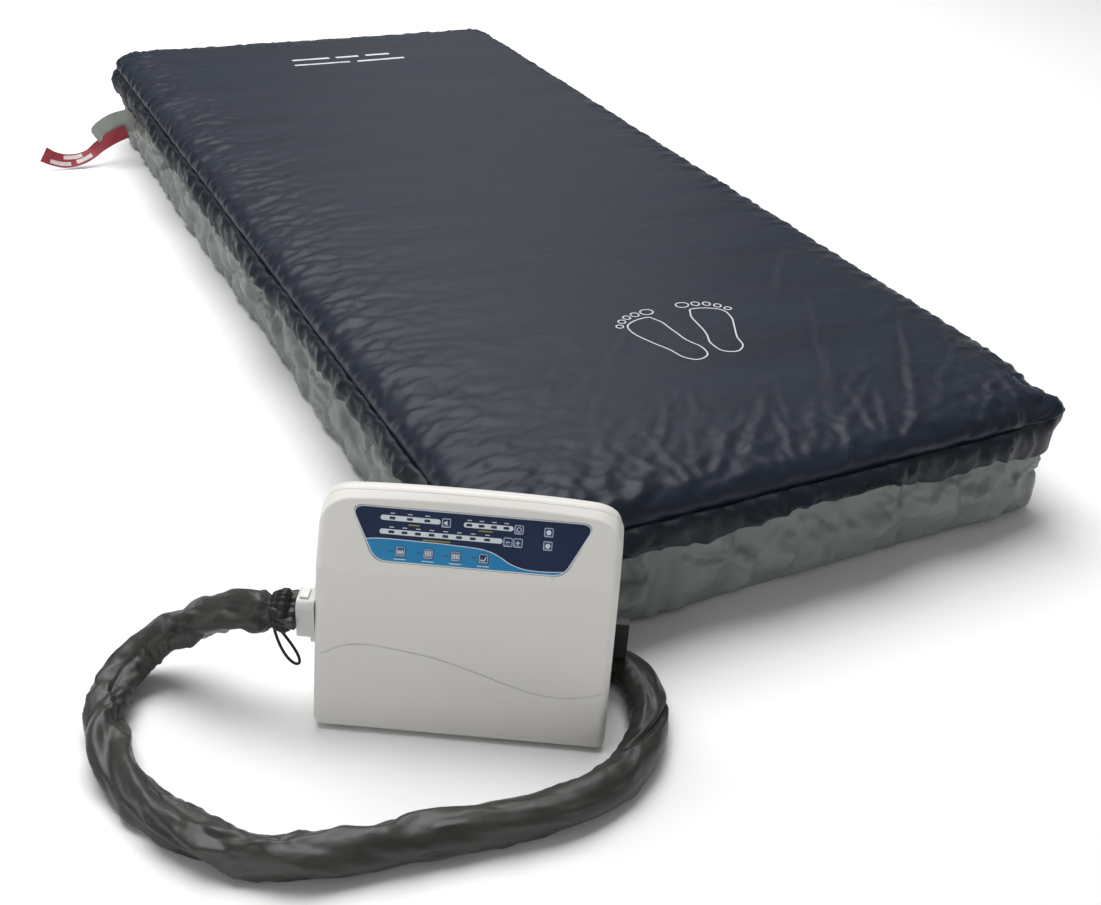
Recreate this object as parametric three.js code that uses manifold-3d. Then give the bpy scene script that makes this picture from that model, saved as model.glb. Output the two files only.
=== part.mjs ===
// Pressure relief mattress: zipped cover over transverse air cells, a control unit on the floor
// at its foot, and the sleeved hose set that joins them. Millimetres, +Z up, +Y towards the head.
// The origin is the centre of the mattress's underside.
import * as THREE from 'three';
import { mergeVertices } from 'three/addons/utils/BufferGeometryUtils.js';
import Module from 'manifold-3d';

const wasm = await Module();
wasm.setup();

// ---------------------------------------------------------------- driving dimensions
const GAP = 0.3; // clearance between pieces that touch
const WIDTH = 914; // mattress width, X
const LENGTH = 2032; // mattress length, Y
const HEIGHT = 203; // mattress height, Z
const CORNER = 55; // radius of the mattress's corners in plan
const CLOTH = 3; // thickness of the cover stand-in
const ZIP_Z = 139; // height of the zip line
const CROWN = 34; // rounding of the top cover's upper edge

const CHAIN = { height: 12, out: [0.4, 2.6] }; // zip chain band, offsets outside the cover wall
const FLAP = { low: 112, shoulder: 158, high: 168, out: [7, 13] };
const SLIDER = { length: 26, height: 14, out: [3, 5.8], y: -930 };

const CELLS = { count: 16, pitch: 124.5, width: 118, low: 8, high: 197, left: -392, right: 438 };
Object.assign(CELLS, { end: 18, round: 40, wall: 1.5, port: 5 });
const BASE_SHEET = { low: CLOTH + 1.2, high: 7, inset: 14 };
const MANIFOLD = { radius: 7, x: [-432, -410], z: 24, length: 1880 };

const CPR = { y: 852, z: 84, width: 48, thick: 2, strap: 88, tagLength: 122, tagWidth: 26, tagZ: [62, -16, 38] };
const CPR_SLOT = { halfWidth: 4, halfHeight: 28 };
const VALVE = { x: [-436, -404], depth: 40, height: 46, nose: 9, recess: 8, flange: 6 };
const INLET = { x: -350, z: 21.8, radius: 21, length: 14, wall: 6 };

const UNIT = { x: -538.8, y: -1112, yaw: -30.6, width: 334, depth: 110, low: 4, high: 277 };
const CREASE = new THREE.Vector2(41, 200); // side profile: lower front face meets the panel
const PANEL_TOP = new THREE.Vector2(83, 270); // side profile: upper edge of the panel
const SPLIT = 92; // plane between the front and rear housings
const WALL = 3.6;
const FOOT = { radius: 9, x: 132, y: [20, 92] };

const OVERLAY = { thick: 0.8, recess: 1.8, top: 72, low: 11.5, halfTop: 129.5, halfLow: 90, shift: 1.5 };
const KEY = { size: 10.6, top: -0.2, low: -2.4, well: -2.9, round: 1.5 };

const PORT = { y: 53, z: 125, depth: 42, height: 60, plate: 5, plug: 16 };
const LATCH = { length: 9, width: 16, proud: 2.5, deep: 4, pocket: 8 };
const SLEEVE = { diameter: 43, bore: 38, sides: 12, steps: 36 };
const HOSE = { diameter: 14, offset: 8.5, sides: 8 };

const HOOK = { x: 134, y: 119, low: 47, high: 98, reach: 53, thick: 12, lip: 18, bar: 14, knuckle: 7 };
const HOOK_PIN = { radius: 3, hole: 3.4, lug: 6 };

const MAINS = { x: -52, z: 52, width: 30, height: 24, depth: 18, recess: 14, rim: 3 };
const SWITCH = { x: -20, z: 52, width: 14, height: 22, proud: 3, deep: 9, valley: 0.8 };
const FILTER = { x: -78, z: 170, width: 52, height: 40, cover: 3, foam: 8, slot: 2.4, slotPitch: 6 };
const PUMP = { x: [-30, 74], y: [38, 98], z: [12, 74], head: 22, headRise: 14, headsApart: 68 };
const DISTRIBUTOR = { x: -108, y: 74, z: 126, radius: 24, height: 34, spindle: 10, spindleHeight: 52 };
const BOARD = { halfWidth: 120, along: [4, 66], under: [-13.6, -12] };

// Hose route from the control unit's port to the mattress inlet, laid on the floor.
const HOSE_ROUTE = [
  [-699, -955.5, 124.5], [-724, -940, 119], [-748, -918, 105], [-775, -891, 83], [-803, -874, 58],
  [-830, -869, 37], [-855, -879, 25], [-874, -902, 21.8], [-891, -939, 21.8], [-899, -977, 21.8],
  [-897, -1019, 21.8], [-889, -1058, 21.8], [-876, -1096, 21.8], [-855, -1134, 21.8],
  [-825, -1172, 21.8], [-791, -1202, 21.8], [-752, -1221, 21.8], [-695, -1234, 21.8],
  [-622, -1247, 21.8], [-548, -1260, 21.8], [-487, -1267, 21.8], [-438, -1262, 21.8],
  [-393, -1246, 21.8], [-355, -1217, 21.8], [-327, -1178, 21.8], [-312, -1138, 21.8],
  [-311, -1108, 21.8], [-323, -1082, 21.8], [-342, -1063, 21.8], [-350, -1047, 21.8],
];

// ---------------------------------------------------------------- materials
const paint = (color, roughness, metalness = 0) =>
  new THREE.MeshStandardMaterial({ color, roughness, metalness });
const NAVY = () => paint(0x3c4350, 0.5);
const GREY = () => paint(0x777e78, 0.5);
const SLEEVE_GREY = () => paint(0x5a5e59, 0.6);
const SHELL = () => paint(0xdcdad5, 0.42);
const BLACK = () => paint(0x1d1e1f, 0.55);
const CELL = () => paint(0x4a5f80, 0.6);
const CLEAR_GREY = () => paint(0xb9bcbb, 0.4);
const STEEL = () => paint(0x8f9194, 0.35, 0.9);

// ---------------------------------------------------------------- solid helpers
function toSolid(geometry) {
  const bare = geometry.clone();
  bare.deleteAttribute('normal');
  bare.deleteAttribute('uv');
  const merged = mergeVertices(bare, 1e-4);
  const vertProperties = new Float32Array(merged.attributes.position.array);
  const triVerts = new Uint32Array(merged.index.array);
  return new wasm.Manifold(new wasm.Mesh({ numProp: 3, vertProperties, triVerts }));
}

function toGeometry(solid) {
  const mesh = solid.getMesh();
  const geometry = new THREE.BufferGeometry();
  geometry.setAttribute('position', new THREE.BufferAttribute(new Float32Array(mesh.vertProperties), 3));
  geometry.setIndex(new THREE.BufferAttribute(new Uint32Array(mesh.triVerts), 1));
  geometry.computeVertexNormals();
  return geometry;
}

const cut = (body, ...tools) =>
  toGeometry(tools.reduce((sum, tool) => sum.subtract(toSolid(tool)), toSolid(body)));
const join = (body, ...more) => toGeometry(more.reduce((sum, one) => sum.add(toSolid(one)), toSolid(body)));
const common = (a, b) => toGeometry(toSolid(a).intersect(toSolid(b)));

// A box from its lowest and highest corners.
function block(low, high) {
  const size = high.map((value, axis) => value - low[axis]);
  const middle = high.map((value, axis) => (value + low[axis]) / 2);
  return new THREE.BoxGeometry(...size).translate(...middle);
}

function roundedRect(width, height, radius) {
  const x = width / 2;
  const y = height / 2;
  const shape = new THREE.Shape();
  shape.absarc(x - radius, y - radius, radius, 0, Math.PI / 2);
  shape.absarc(-x + radius, y - radius, radius, Math.PI / 2, Math.PI);
  shape.absarc(-x + radius, -y + radius, radius, Math.PI, 1.5 * Math.PI);
  shape.absarc(x - radius, -y + radius, radius, 1.5 * Math.PI, 2 * Math.PI);
  shape.closePath();
  return shape;
}

function extrude(shape, depth, curveSegments = 6) {
  return new THREE.ExtrudeGeometry(shape, { depth, bevelEnabled: false, curveSegments });
}

// An upright cylinder, or one laid along X or Y.
function rod(radius, length, axis = 'z', sides = 20) {
  const geometry = new THREE.CylinderGeometry(radius, radius, length, sides);
  if (axis === 'z') geometry.rotateX(Math.PI / 2);
  if (axis === 'x') geometry.rotateZ(Math.PI / 2);
  return geometry;
}

function addPart(parent, name, geometry, material) {
  const mesh = new THREE.Mesh(geometry, material);
  mesh.name = name;
  parent.add(mesh);
  return mesh;
}

const model = new THREE.Group();

// ---------------------------------------------------------------- mattress covers
// The mattress's plan outline, grown outwards by an offset, between two heights.
function outlineSlab(offset, low, high) {
  const shape = roundedRect(WIDTH + 2 * offset, LENGTH + 2 * offset, CORNER + offset);
  return extrude(shape, high - low, 5).translate(0, 0, low);
}

const outlineRing = (out, low, high) =>
  cut(outlineSlab(out[1], low, high), outlineSlab(out[0], low - 1, high + 1));

// A plan slab whose upper edge is rounded, used for the top cover's outside and inside.
function crownedSlab(inset, low, high) {
  const shape = roundedRect(WIDTH - 2 * (inset + CROWN), LENGTH - 2 * (inset + CROWN), CORNER / 2);
  const depth = high - low;
  const options = { depth, bevelThickness: CROWN, bevelSize: CROWN, bevelSegments: 4, curveSegments: 5 };
  const pillow = new THREE.ExtrudeGeometry(shape, options).translate(0, 0, low - CROWN);
  return common(pillow, block([-WIDTH, -LENGTH, low], [WIDTH, LENGTH, high + 1]));
}

function baseCover() {
  const tray = cut(outlineSlab(0, 0, ZIP_Z - GAP), outlineSlab(-CLOTH, CLOTH, ZIP_Z + 1));
  const strapSlot = block(
    [-WIDTH / 2 - CLOTH, CPR.y - CPR_SLOT.halfWidth, CPR.z - CPR_SLOT.halfHeight],
    [-WIDTH / 2 + 2 * CLOTH, CPR.y + CPR_SLOT.halfWidth, CPR.z + CPR_SLOT.halfHeight],
  );
  const hole = INLET.radius - INLET.wall + 1;
  const hoseHole = rod(hole, 6 * CLOTH, 'y').translate(INLET.x, -LENGTH / 2, INLET.z);
  return cut(tray, strapSlot, hoseHole);
}

function topCover() {
  const skirt = crownedSlab(0, ZIP_Z, HEIGHT);
  return cut(skirt, crownedSlab(CLOTH, ZIP_Z - 1, HEIGHT - CLOTH));
}

function zipFlap() {
  const hanging = outlineRing(FLAP.out, FLAP.low, FLAP.shoulder + 1);
  const shoulder = outlineRing([GAP, FLAP.out[1]], FLAP.shoulder, FLAP.high);
  return join(hanging, shoulder);
}

function zipSlider() {
  const low = [WIDTH / 2 + SLIDER.out[0], SLIDER.y - SLIDER.length / 2, ZIP_Z - SLIDER.height / 2];
  const high = [WIDTH / 2 + SLIDER.out[1], SLIDER.y + SLIDER.length / 2, ZIP_Z + SLIDER.height / 2];
  return block(low, high);
}

addPart(model, 'base_cover', baseCover(), GREY());
addPart(model, 'top_cover', topCover(), NAVY());
const chain = outlineRing(CHAIN.out, ZIP_Z - CHAIN.height / 2, ZIP_Z + CHAIN.height / 2);
addPart(model, 'zip_chain', chain, BLACK());
addPart(model, 'zip_flap', zipFlap(), NAVY());
addPart(model, 'zip_slider', zipSlider(), STEEL());

// ---------------------------------------------------------------- air cells and air lines
// One transverse cell's outer form, an upright oval section with rounded ends along X,
// or with an inset the hollow inside it.
function cellForm(inset) {
  const taper = CELLS.end - inset;
  const section = roundedRect(
    CELLS.high - CELLS.low - 2 * CELLS.end,
    CELLS.width - 2 * CELLS.end,
    CELLS.round,
  );
  const depth = CELLS.right - CELLS.left - 2 * CELLS.end;
  const options = { depth, bevelThickness: taper, bevelSize: taper, bevelSegments: 1, curveSegments: 2 };
  const form = new THREE.ExtrudeGeometry(section, options).rotateY(-Math.PI / 2);
  return form.translate(CELLS.right - CELLS.end, 0, (CELLS.low + CELLS.high) / 2);
}

// The cell's wall, with the port through its left end that its air line feeds.
function airCell() {
  const port = rod(CELLS.port, 4 * CELLS.wall, 'x', 6).translate(CELLS.left, 0, CELLS.low + 42);
  return cut(cellForm(0), cellForm(CELLS.wall), port);
}

const cellShape = airCell();
for (let i = 0; i < CELLS.count; i += 1) {
  const cell = addPart(model, `air_cell_${String(i + 1).padStart(2, '0')}`, cellShape, CELL());
  cell.position.y = (i - (CELLS.count - 1) / 2) * CELLS.pitch;
}

addPart(model, 'cell_base_sheet', outlineSlab(-BASE_SHEET.inset, BASE_SHEET.low, BASE_SHEET.high), GREY());
['air_line_a', 'air_line_b'].forEach((name, i) => {
  const line = rod(MANIFOLD.radius, MANIFOLD.length, 'y', 12);
  addPart(model, name, line.translate(MANIFOLD.x[i], 0, MANIFOLD.z), CLEAR_GREY());
});

// ---------------------------------------------------------------- quick-release valve at the head
function valveBody() {
  const low = [VALVE.x[0], CPR.y - VALVE.depth / 2, CPR.z - VALVE.height / 2];
  const high = [VALVE.x[1], CPR.y + VALVE.depth / 2, CPR.z + VALVE.height / 2];
  const recess = rod(VALVE.nose, 2 * VALVE.recess, 'x').translate(VALVE.x[0], CPR.y, CPR.z);
  return cut(block(low, high), recess);
}

function valvePlug() {
  const outer = VALVE.x[0] - GAP;
  const flange = rod(VALVE.nose + 4, VALVE.flange, 'x').translate(outer - VALVE.flange / 2, CPR.y, CPR.z);
  const nose = rod(VALVE.nose - 0.5, VALVE.recess, 'x').translate(outer + VALVE.recess / 2 - 1, CPR.y, CPR.z);
  return join(flange, nose);
}

const strapStart = VALVE.x[0] - GAP - VALVE.flange - GAP;
const strapEnd = -WIDTH / 2 - CPR.strap;

// The pull strap with the narrower tag sewn to its end, which droops nearly to the ground.
function pullStrap() {
  const low = [strapEnd, CPR.y - CPR.thick / 2, CPR.z - CPR.width / 2];
  const strap = block(low, [strapStart, CPR.y + CPR.thick / 2, CPR.z + CPR.width / 2]);
  const start = new THREE.Vector3(strapEnd + 4, CPR.y, CPR.tagZ[0]);
  const middle = new THREE.Vector3(strapEnd - CPR.tagLength * 0.5, CPR.y - 8, CPR.tagZ[1]);
  const end = new THREE.Vector3(strapEnd - CPR.tagLength, CPR.y - 10, CPR.tagZ[2]);
  const path = new THREE.QuadraticBezierCurve3(start, middle, end);
  const section = roundedRect(CPR.thick + 0.4, CPR.tagWidth, 0.5);
  return join(strap, new THREE.ExtrudeGeometry(section, { extrudePath: path, steps: 6, curveSegments: 1 }));
}

addPart(model, 'cpr_valve_body', valveBody(), CLEAR_GREY());
addPart(model, 'cpr_valve_plug', valvePlug(), BLACK());
addPart(model, 'cpr_pull_strap', pullStrap(), GREY());

// ---------------------------------------------------------------- hose inlet on the mattress
function hoseInlet() {
  const rim = rod(INLET.radius, INLET.length, 'y', 24).translate(0, -GAP - INLET.length / 2, 0);
  const bore = rod(INLET.radius - INLET.wall, 3 * INLET.length, 'y', 24);
  return cut(rim, bore).translate(INLET.x, -LENGTH / 2, INLET.z);
}

addPart(model, 'hose_inlet', hoseInlet(), BLACK());

// ---------------------------------------------------------------- control unit housings
const unit = new THREE.Group();
unit.position.set(UNIT.x, UNIT.y, 0);
unit.rotation.z = THREE.MathUtils.degToRad(UNIT.yaw);
model.add(unit);

// Turns a (depth, height) outline extruded upwards so that it runs across the unit.
const profileToUnit = new THREE.Matrix4().makeBasis(
  new THREE.Vector3(0, 1, 0),
  new THREE.Vector3(0, 0, 1),
  new THREE.Vector3(1, 0, 0),
);

// Moves each edge of a closed outline inwards by a distance; the outline runs anticlockwise.
function insetOutline(points, distance) {
  const edges = points.map((from, i) => {
    const to = points[(i + 1) % points.length];
    const along = to.clone().sub(from).normalize();
    const shift = new THREE.Vector2(-along.y, along.x).multiplyScalar(distance);
    return { start: from.clone().add(shift), along };
  });
  return edges.map((edge, i) => {
    const before = edges[(i + edges.length - 1) % edges.length];
    const gap = edge.start.clone().sub(before.start);
    const reach = gap.cross(edge.along) / before.along.cross(edge.along);
    return before.start.clone().addScaledVector(before.along, reach);
  });
}

// Side profile in (depth, height), extruded across the width.
function sideProfile(inset) {
  const corners = [
    [4, UNIT.low], [UNIT.depth - 4, UNIT.low], [UNIT.depth, UNIT.low + 5],
    [UNIT.depth, UNIT.high - 12], [UNIT.depth - 4, UNIT.high - 3], [UNIT.depth - 12, UNIT.high],
    [UNIT.depth - 20, UNIT.high - 1.5], [PANEL_TOP.x, PANEL_TOP.y], [CREASE.x, CREASE.y], [1, UNIT.low + 6],
  ];
  const outline = insetOutline(corners.map((point) => new THREE.Vector2(...point)), inset);
  const width = UNIT.width - 2 * inset;
  const across = extrude(new THREE.Shape(outline), width).translate(0, 0, -width / 2);
  return across.applyMatrix4(profileToUnit);
}

// Front outline in (width, height) with an arched top, extruded through the depth.
function frontOutline(inset) {
  const x = UNIT.width / 2 - inset;
  const low = UNIT.low + inset;
  const high = UNIT.high - inset;
  const outline = new THREE.Shape();
  outline.moveTo(0, low);
  outline.lineTo(x - 12, low);
  outline.quadraticCurveTo(x, low, x, low + 12);
  outline.lineTo(x, high - 38);
  outline.quadraticCurveTo(x, high - 9, x - 30, high - 4);
  outline.quadraticCurveTo(x - 75, high, 0, high);
  outline.quadraticCurveTo(-x + 75, high, -x + 30, high - 4);
  outline.quadraticCurveTo(-x, high - 9, -x, high - 38);
  outline.lineTo(-x, low + 12);
  outline.quadraticCurveTo(-x, low, -x + 12, low);
  outline.closePath();
  return extrude(outline, UNIT.depth + 2).rotateX(Math.PI / 2).translate(0, UNIT.depth + 1, 0);
}

// The unit's outer form, or with an inset the hollow inside its walls.
function housingForm(inset) {
  return common(sideProfile(inset), frontOutline(inset));
}

const shell = cut(housingForm(0), housingForm(WALL));
const frontHalf = block([-UNIT.width, -10, 0], [UNIT.width, SPLIT - GAP / 2, UNIT.high + 10]);
const rearHalf = block([-UNIT.width, SPLIT + GAP / 2, 0], [UNIT.width, UNIT.depth + 10, UNIT.high + 10]);

// ---------------------------------------------------------------- control panel
// Panel frame: X across, Y up the slope from the crease, Z out of the face.
const panelUp = new THREE.Vector3(0, PANEL_TOP.x - CREASE.x, PANEL_TOP.y - CREASE.y).normalize();
const panelOut = new THREE.Vector3(1, 0, 0).cross(panelUp);
const panelFrame = new THREE.Matrix4()
  .makeBasis(new THREE.Vector3(1, 0, 0), panelUp, panelOut)
  .setPosition(0, CREASE.x, CREASE.y);
const panel = new THREE.Group();
panel.applyMatrix4(panelFrame);
unit.add(panel);

// Overlay outline: a trapezoid, wider at the top, with round corners.
function overlayShape(grow) {
  const low = OVERLAY.low - grow;
  const top = OVERLAY.top + grow;
  const wide = OVERLAY.halfTop + grow;
  const narrow = OVERLAY.halfLow + grow;
  const shape = new THREE.Shape();
  shape.moveTo(0, low);
  shape.lineTo(narrow, low);
  shape.quadraticCurveTo(narrow + 14, low, narrow + 20, low + 12);
  shape.lineTo(wide - 1, top - 12);
  shape.quadraticCurveTo(wide + 4.5, top, wide - 12, top);
  shape.lineTo(-wide + 12, top);
  shape.quadraticCurveTo(-wide - 4.5, top, -wide + 1, top - 12);
  shape.lineTo(-narrow - 20, low + 12);
  shape.quadraticCurveTo(-narrow - 14, low, -narrow, low);
  shape.closePath();
  return shape;
}

// Keys on the panel: name and centre (across, up the slope).
const KEYS = [
  ['key_mute', -27, 59.5], ['key_timer', 52.5, 59], ['key_minus', 41.5, 44.5], ['key_plus', 52.5, 44.5],
  ['key_panel_lock', 85, 58.7], ['key_alarm_reset', 85, 44],
  ['key_mode_alternate', -74.5, 24.2], ['key_mode_pulsate', -44, 24.2],
  ['key_mode_static', -14, 24.2], ['key_mode_seat', 16.5, 24.2],
];

function keyPrism(size, low, high, x, y) {
  return extrude(roundedRect(size, size, KEY.round), high - low, 1).translate(x, y, low);
}

const keyWells = KEYS.map(([, x, y]) => keyPrism(KEY.size + 2 * GAP, KEY.well, 2, x, y));

function frontHousing() {
  const recess = extrude(overlayShape(GAP), OVERLAY.recess + 2, 3)
    .translate(OVERLAY.shift, 0, -OVERLAY.recess)
    .applyMatrix4(panelFrame);
  const wells = keyWells.map((well) => well.clone().applyMatrix4(panelFrame));
  return cut(common(shell, frontHalf), recess, ...wells);
}

function controlOverlay() {
  const plate = extrude(overlayShape(0), OVERLAY.thick, 3)
    .translate(OVERLAY.shift, 0, GAP - OVERLAY.recess);
  return cut(plate, ...keyWells);
}

addPart(unit, 'front_housing', frontHousing(), SHELL());
addPart(panel, 'control_overlay', controlOverlay(), paint(0x233a66, 0.3));
KEYS.forEach(([name, x, y]) => {
  addPart(panel, name, keyPrism(KEY.size, KEY.low, KEY.top, x, y), paint(0x2c4a7c, 0.35));
});

// ---------------------------------------------------------------- rear housing and what it carries
// Hinge lugs above and below a hook, bored for its pin.
function hookLugs(x) {
  const half = HOOK_PIN.radius + HOOK_PIN.lug;
  const lug = (low) => block([x - half, UNIT.depth - 1, low], [x + half, HOOK.y + 6, low + HOOK_PIN.lug]);
  const upper = lug(HOOK.high + GAP);
  const lower = lug(HOOK.low - GAP - HOOK_PIN.lug);
  const pinHole = rod(HOOK_PIN.hole, 100).translate(x, HOOK.y, (HOOK.low + HOOK.high) / 2);
  return [cut(upper, pinHole), cut(lower, pinHole)];
}

function throughRear(x, z, width, height) {
  const low = [x - width / 2, UNIT.depth - 12, z - height / 2];
  return block(low, [x + width / 2, UNIT.depth + 4, z + height / 2]);
}

function rearHousing() {
  const plain = join(common(shell, rearHalf), ...hookLugs(-HOOK.x), ...hookLugs(HOOK.x));
  return cut(
    plain,
    throughRear(SWITCH.x, SWITCH.z, SWITCH.width + 1.2, SWITCH.height + 4),
    throughRear(FILTER.x, FILTER.z, FILTER.width - 10, FILTER.height - 10),
  );
}

addPart(unit, 'rear_housing', rearHousing(), SHELL());

// A bed hook lying along +X from its hinge pin: knuckle, top bar and down-turned lip.
function bedHook() {
  const half = HOOK.thick / 2;
  const arch = block([0, -half, HOOK.low], [HOOK.reach, half, HOOK.high]);
  const mouth = block(
    [HOOK.knuckle + 5, -half - 1, HOOK.low - 1],
    [HOOK.reach - HOOK.lip, half + 1, HOOK.high - HOOK.bar],
  );
  const middle = (HOOK.low + HOOK.high) / 2;
  const height = HOOK.high - HOOK.low;
  const knuckle = rod(HOOK.knuckle, height).translate(0, 0, middle);
  const pin = rod(HOOK_PIN.radius, height + 2 * HOOK_PIN.lug).translate(0, 0, middle);
  return join(cut(arch, mouth), knuckle, pin);
}

['bed_hook_left', 'bed_hook_right'].forEach((name, i) => {
  const hook = addPart(unit, name, bedHook(), BLACK());
  hook.position.set((i === 0 ? -1 : 1) * HOOK.x, HOOK.y, 0);
});

[-1, 1].forEach((side) => {
  FOOT.y.forEach((y, i) => {
    const foot = rod(FOOT.radius, UNIT.low - GAP).translate(side * FOOT.x, y, (UNIT.low - GAP) / 2);
    addPart(unit, `foot_${side < 0 ? 'left' : 'right'}_${i === 0 ? 'front' : 'rear'}`, foot, BLACK());
  });
});

// Mains inlet: a socket block that stands on the rear wall, open to the back.
function mainsInlet() {
  const wall = UNIT.depth + GAP;
  const back = wall + MAINS.depth;
  const body = block(
    [MAINS.x - MAINS.width / 2, wall, MAINS.z - MAINS.height / 2],
    [MAINS.x + MAINS.width / 2, back, MAINS.z + MAINS.height / 2],
  );
  const recess = block(
    [MAINS.x - MAINS.width / 2 + MAINS.rim, back - MAINS.recess, MAINS.z - MAINS.height / 2 + MAINS.rim],
    [MAINS.x + MAINS.width / 2 - MAINS.rim, back + 1, MAINS.z + MAINS.height / 2 - MAINS.rim],
  );
  return cut(body, recess);
}

// Power switch: a rocker with a shallow V face, rocking about an axis across the unit.
function powerSwitch() {
  const rocker = new THREE.Shape();
  rocker.moveTo(-SWITCH.deep, -SWITCH.height / 2 + 3);
  rocker.lineTo(0, -SWITCH.height / 2);
  rocker.lineTo(SWITCH.proud, -SWITCH.height / 2 + 1);
  rocker.lineTo(SWITCH.valley, 0);
  rocker.lineTo(SWITCH.proud, SWITCH.height / 2 - 1);
  rocker.lineTo(0, SWITCH.height / 2);
  rocker.lineTo(-SWITCH.deep, SWITCH.height / 2 - 3);
  rocker.closePath();
  const across = extrude(rocker, SWITCH.width).translate(0, 0, -SWITCH.width / 2);
  return across.applyMatrix4(profileToUnit).translate(SWITCH.x, UNIT.depth, SWITCH.z);
}

function filterFoam() {
  const inner = UNIT.depth - WALL - GAP;
  return block(
    [FILTER.x - FILTER.width / 2 + 2, inner - FILTER.foam, FILTER.z - FILTER.height / 2 + 2],
    [FILTER.x + FILTER.width / 2 - 2, inner, FILTER.z + FILTER.height / 2 - 2],
  );
}

function filterCover() {
  const plate = extrude(roundedRect(FILTER.width, FILTER.height, 5), FILTER.cover, 3)
    .rotateX(-Math.PI / 2)
    .translate(FILTER.x, UNIT.depth + GAP, FILTER.z);
  const reach = FILTER.width / 3;
  const slots = [-2, -1, 0, 1, 2].map((row) => {
    const low = FILTER.z + row * FILTER.slotPitch - FILTER.slot / 2;
    const deep = UNIT.depth + 2 * FILTER.cover;
    return block([FILTER.x - reach, UNIT.depth - 1, low], [FILTER.x + reach, deep, low + FILTER.slot]);
  });
  return cut(plate, ...slots);
}

addPart(unit, 'mains_inlet', mainsInlet(), BLACK());
addPart(unit, 'power_switch', powerSwitch(), BLACK());
addPart(unit, 'air_filter', filterFoam(), BLACK());
addPart(unit, 'filter_cover', filterCover(), SHELL());

// ---------------------------------------------------------------- inside the control unit
function compressor() {
  const body = block([PUMP.x[0], PUMP.y[0], PUMP.z[0]], [PUMP.x[1], PUMP.y[1], PUMP.z[1]]);
  const middle = new THREE.Vector3((PUMP.x[0] + PUMP.x[1]) / 2, (PUMP.y[0] + PUMP.y[1]) / 2, PUMP.z[1]);
  const heads = [-1, 1].map((side) => {
    const x = middle.x + (side * PUMP.headsApart) / 2;
    return rod(PUMP.head, 2 * PUMP.headRise).translate(x, middle.y, middle.z);
  });
  return join(body, ...heads);
}

function valveMotor() {
  const drum = rod(DISTRIBUTOR.radius, DISTRIBUTOR.height, 'z', 24);
  const spindle = rod(DISTRIBUTOR.spindle, DISTRIBUTOR.spindleHeight, 'z', 16);
  return join(drum, spindle).translate(DISTRIBUTOR.x, DISTRIBUTOR.y, DISTRIBUTOR.z);
}

addPart(unit, 'compressor', compressor(), STEEL());
addPart(unit, 'valve_motor', valveMotor(), CLEAR_GREY());

function controlBoard() {
  const low = [-BOARD.halfWidth, BOARD.along[0], BOARD.under[0]];
  return block(low, [BOARD.halfWidth, BOARD.along[1], BOARD.under[1]]);
}

addPart(panel, 'control_board', controlBoard(), paint(0x2f6b43, 0.5));

// ---------------------------------------------------------------- hose port on the unit's left side
const portFace = -UNIT.width / 2 - GAP;
const plugFace = portFace - PORT.plate - GAP;
const sleeveFace = plugFace - PORT.plug;

// A rounded plate across X between two stations, centred on the port.
function portPlate(depth, height, from, to) {
  const plate = extrude(roundedRect(height, depth, 10), to - from, 4).rotateY(Math.PI / 2);
  return plate.translate(from, PORT.y, PORT.z);
}

function latchBox(grow, low, high) {
  const x = (plugFace + sleeveFace) / 2;
  const reach = LATCH.length / 2 + grow;
  const side = LATCH.width / 2 + grow;
  return block([x - reach, PORT.y - side, low], [x + reach, PORT.y + side, high]);
}

const plugTop = PORT.z + PORT.height / 2 - 4;

function hosePlug() {
  const body = portPlate(PORT.depth - 6, PORT.height - 8, sleeveFace, plugFace);
  return cut(body, latchBox(GAP, plugTop - LATCH.pocket, plugTop + 5));
}

addPart(unit, 'hose_port', portPlate(PORT.depth, PORT.height, portFace - PORT.plate, portFace), CLEAR_GREY());
addPart(unit, 'hose_plug', hosePlug(), CLEAR_GREY());
addPart(unit, 'plug_latch', latchBox(0, plugTop - LATCH.deep, plugTop + LATCH.proud), SHELL());

// ---------------------------------------------------------------- sleeved hose set
unit.updateMatrixWorld(true);
const fromPort = (distance) => unit.localToWorld(new THREE.Vector3(sleeveFace - distance, PORT.y, PORT.z));
const hoseStart = [fromPort(2 * GAP), fromPort(15)];
const hoseEnd = new THREE.Vector3(INLET.x, -LENGTH / 2 - 2 * GAP - INLET.length, INLET.z);
const hosePath = new THREE.CatmullRomCurve3(
  [...hoseStart, ...HOSE_ROUTE.map((point) => new THREE.Vector3(...point)), hoseEnd],
  false,
  'centripetal',
);

function alongHose(section, curveSegments) {
  return new THREE.ExtrudeGeometry(section, { extrudePath: hosePath, steps: SLEEVE.steps, curveSegments });
}

function ringPath(target, radius, sides, x = 0) {
  const points = [];
  for (let i = 0; i < sides; i += 1) {
    const angle = (2 * Math.PI * i) / sides;
    points.push(new THREE.Vector2(x + radius * Math.cos(angle), radius * Math.sin(angle)));
  }
  target.setFromPoints(points);
  target.closePath();
  return target;
}

function hoseSleeve() {
  const section = ringPath(new THREE.Shape(), SLEEVE.diameter / 2, SLEEVE.sides);
  section.holes.push(ringPath(new THREE.Path(), SLEEVE.bore / 2, SLEEVE.sides));
  return alongHose(section, 1);
}

addPart(model, 'hose_sleeve', hoseSleeve(), SLEEVE_GREY());
[-1, 1].forEach((side) => {
  const section = ringPath(new THREE.Shape(), HOSE.diameter / 2, HOSE.sides, side * HOSE.offset);
  addPart(model, side < 0 ? 'air_hose_a' : 'air_hose_b', alongHose(section, 1), CLEAR_GREY());
});

export default model;
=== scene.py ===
import math

import bmesh
import bpy
import numpy as np
from mathutils import Matrix, Vector
from mathutils.bvhtree import BVHTree


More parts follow.
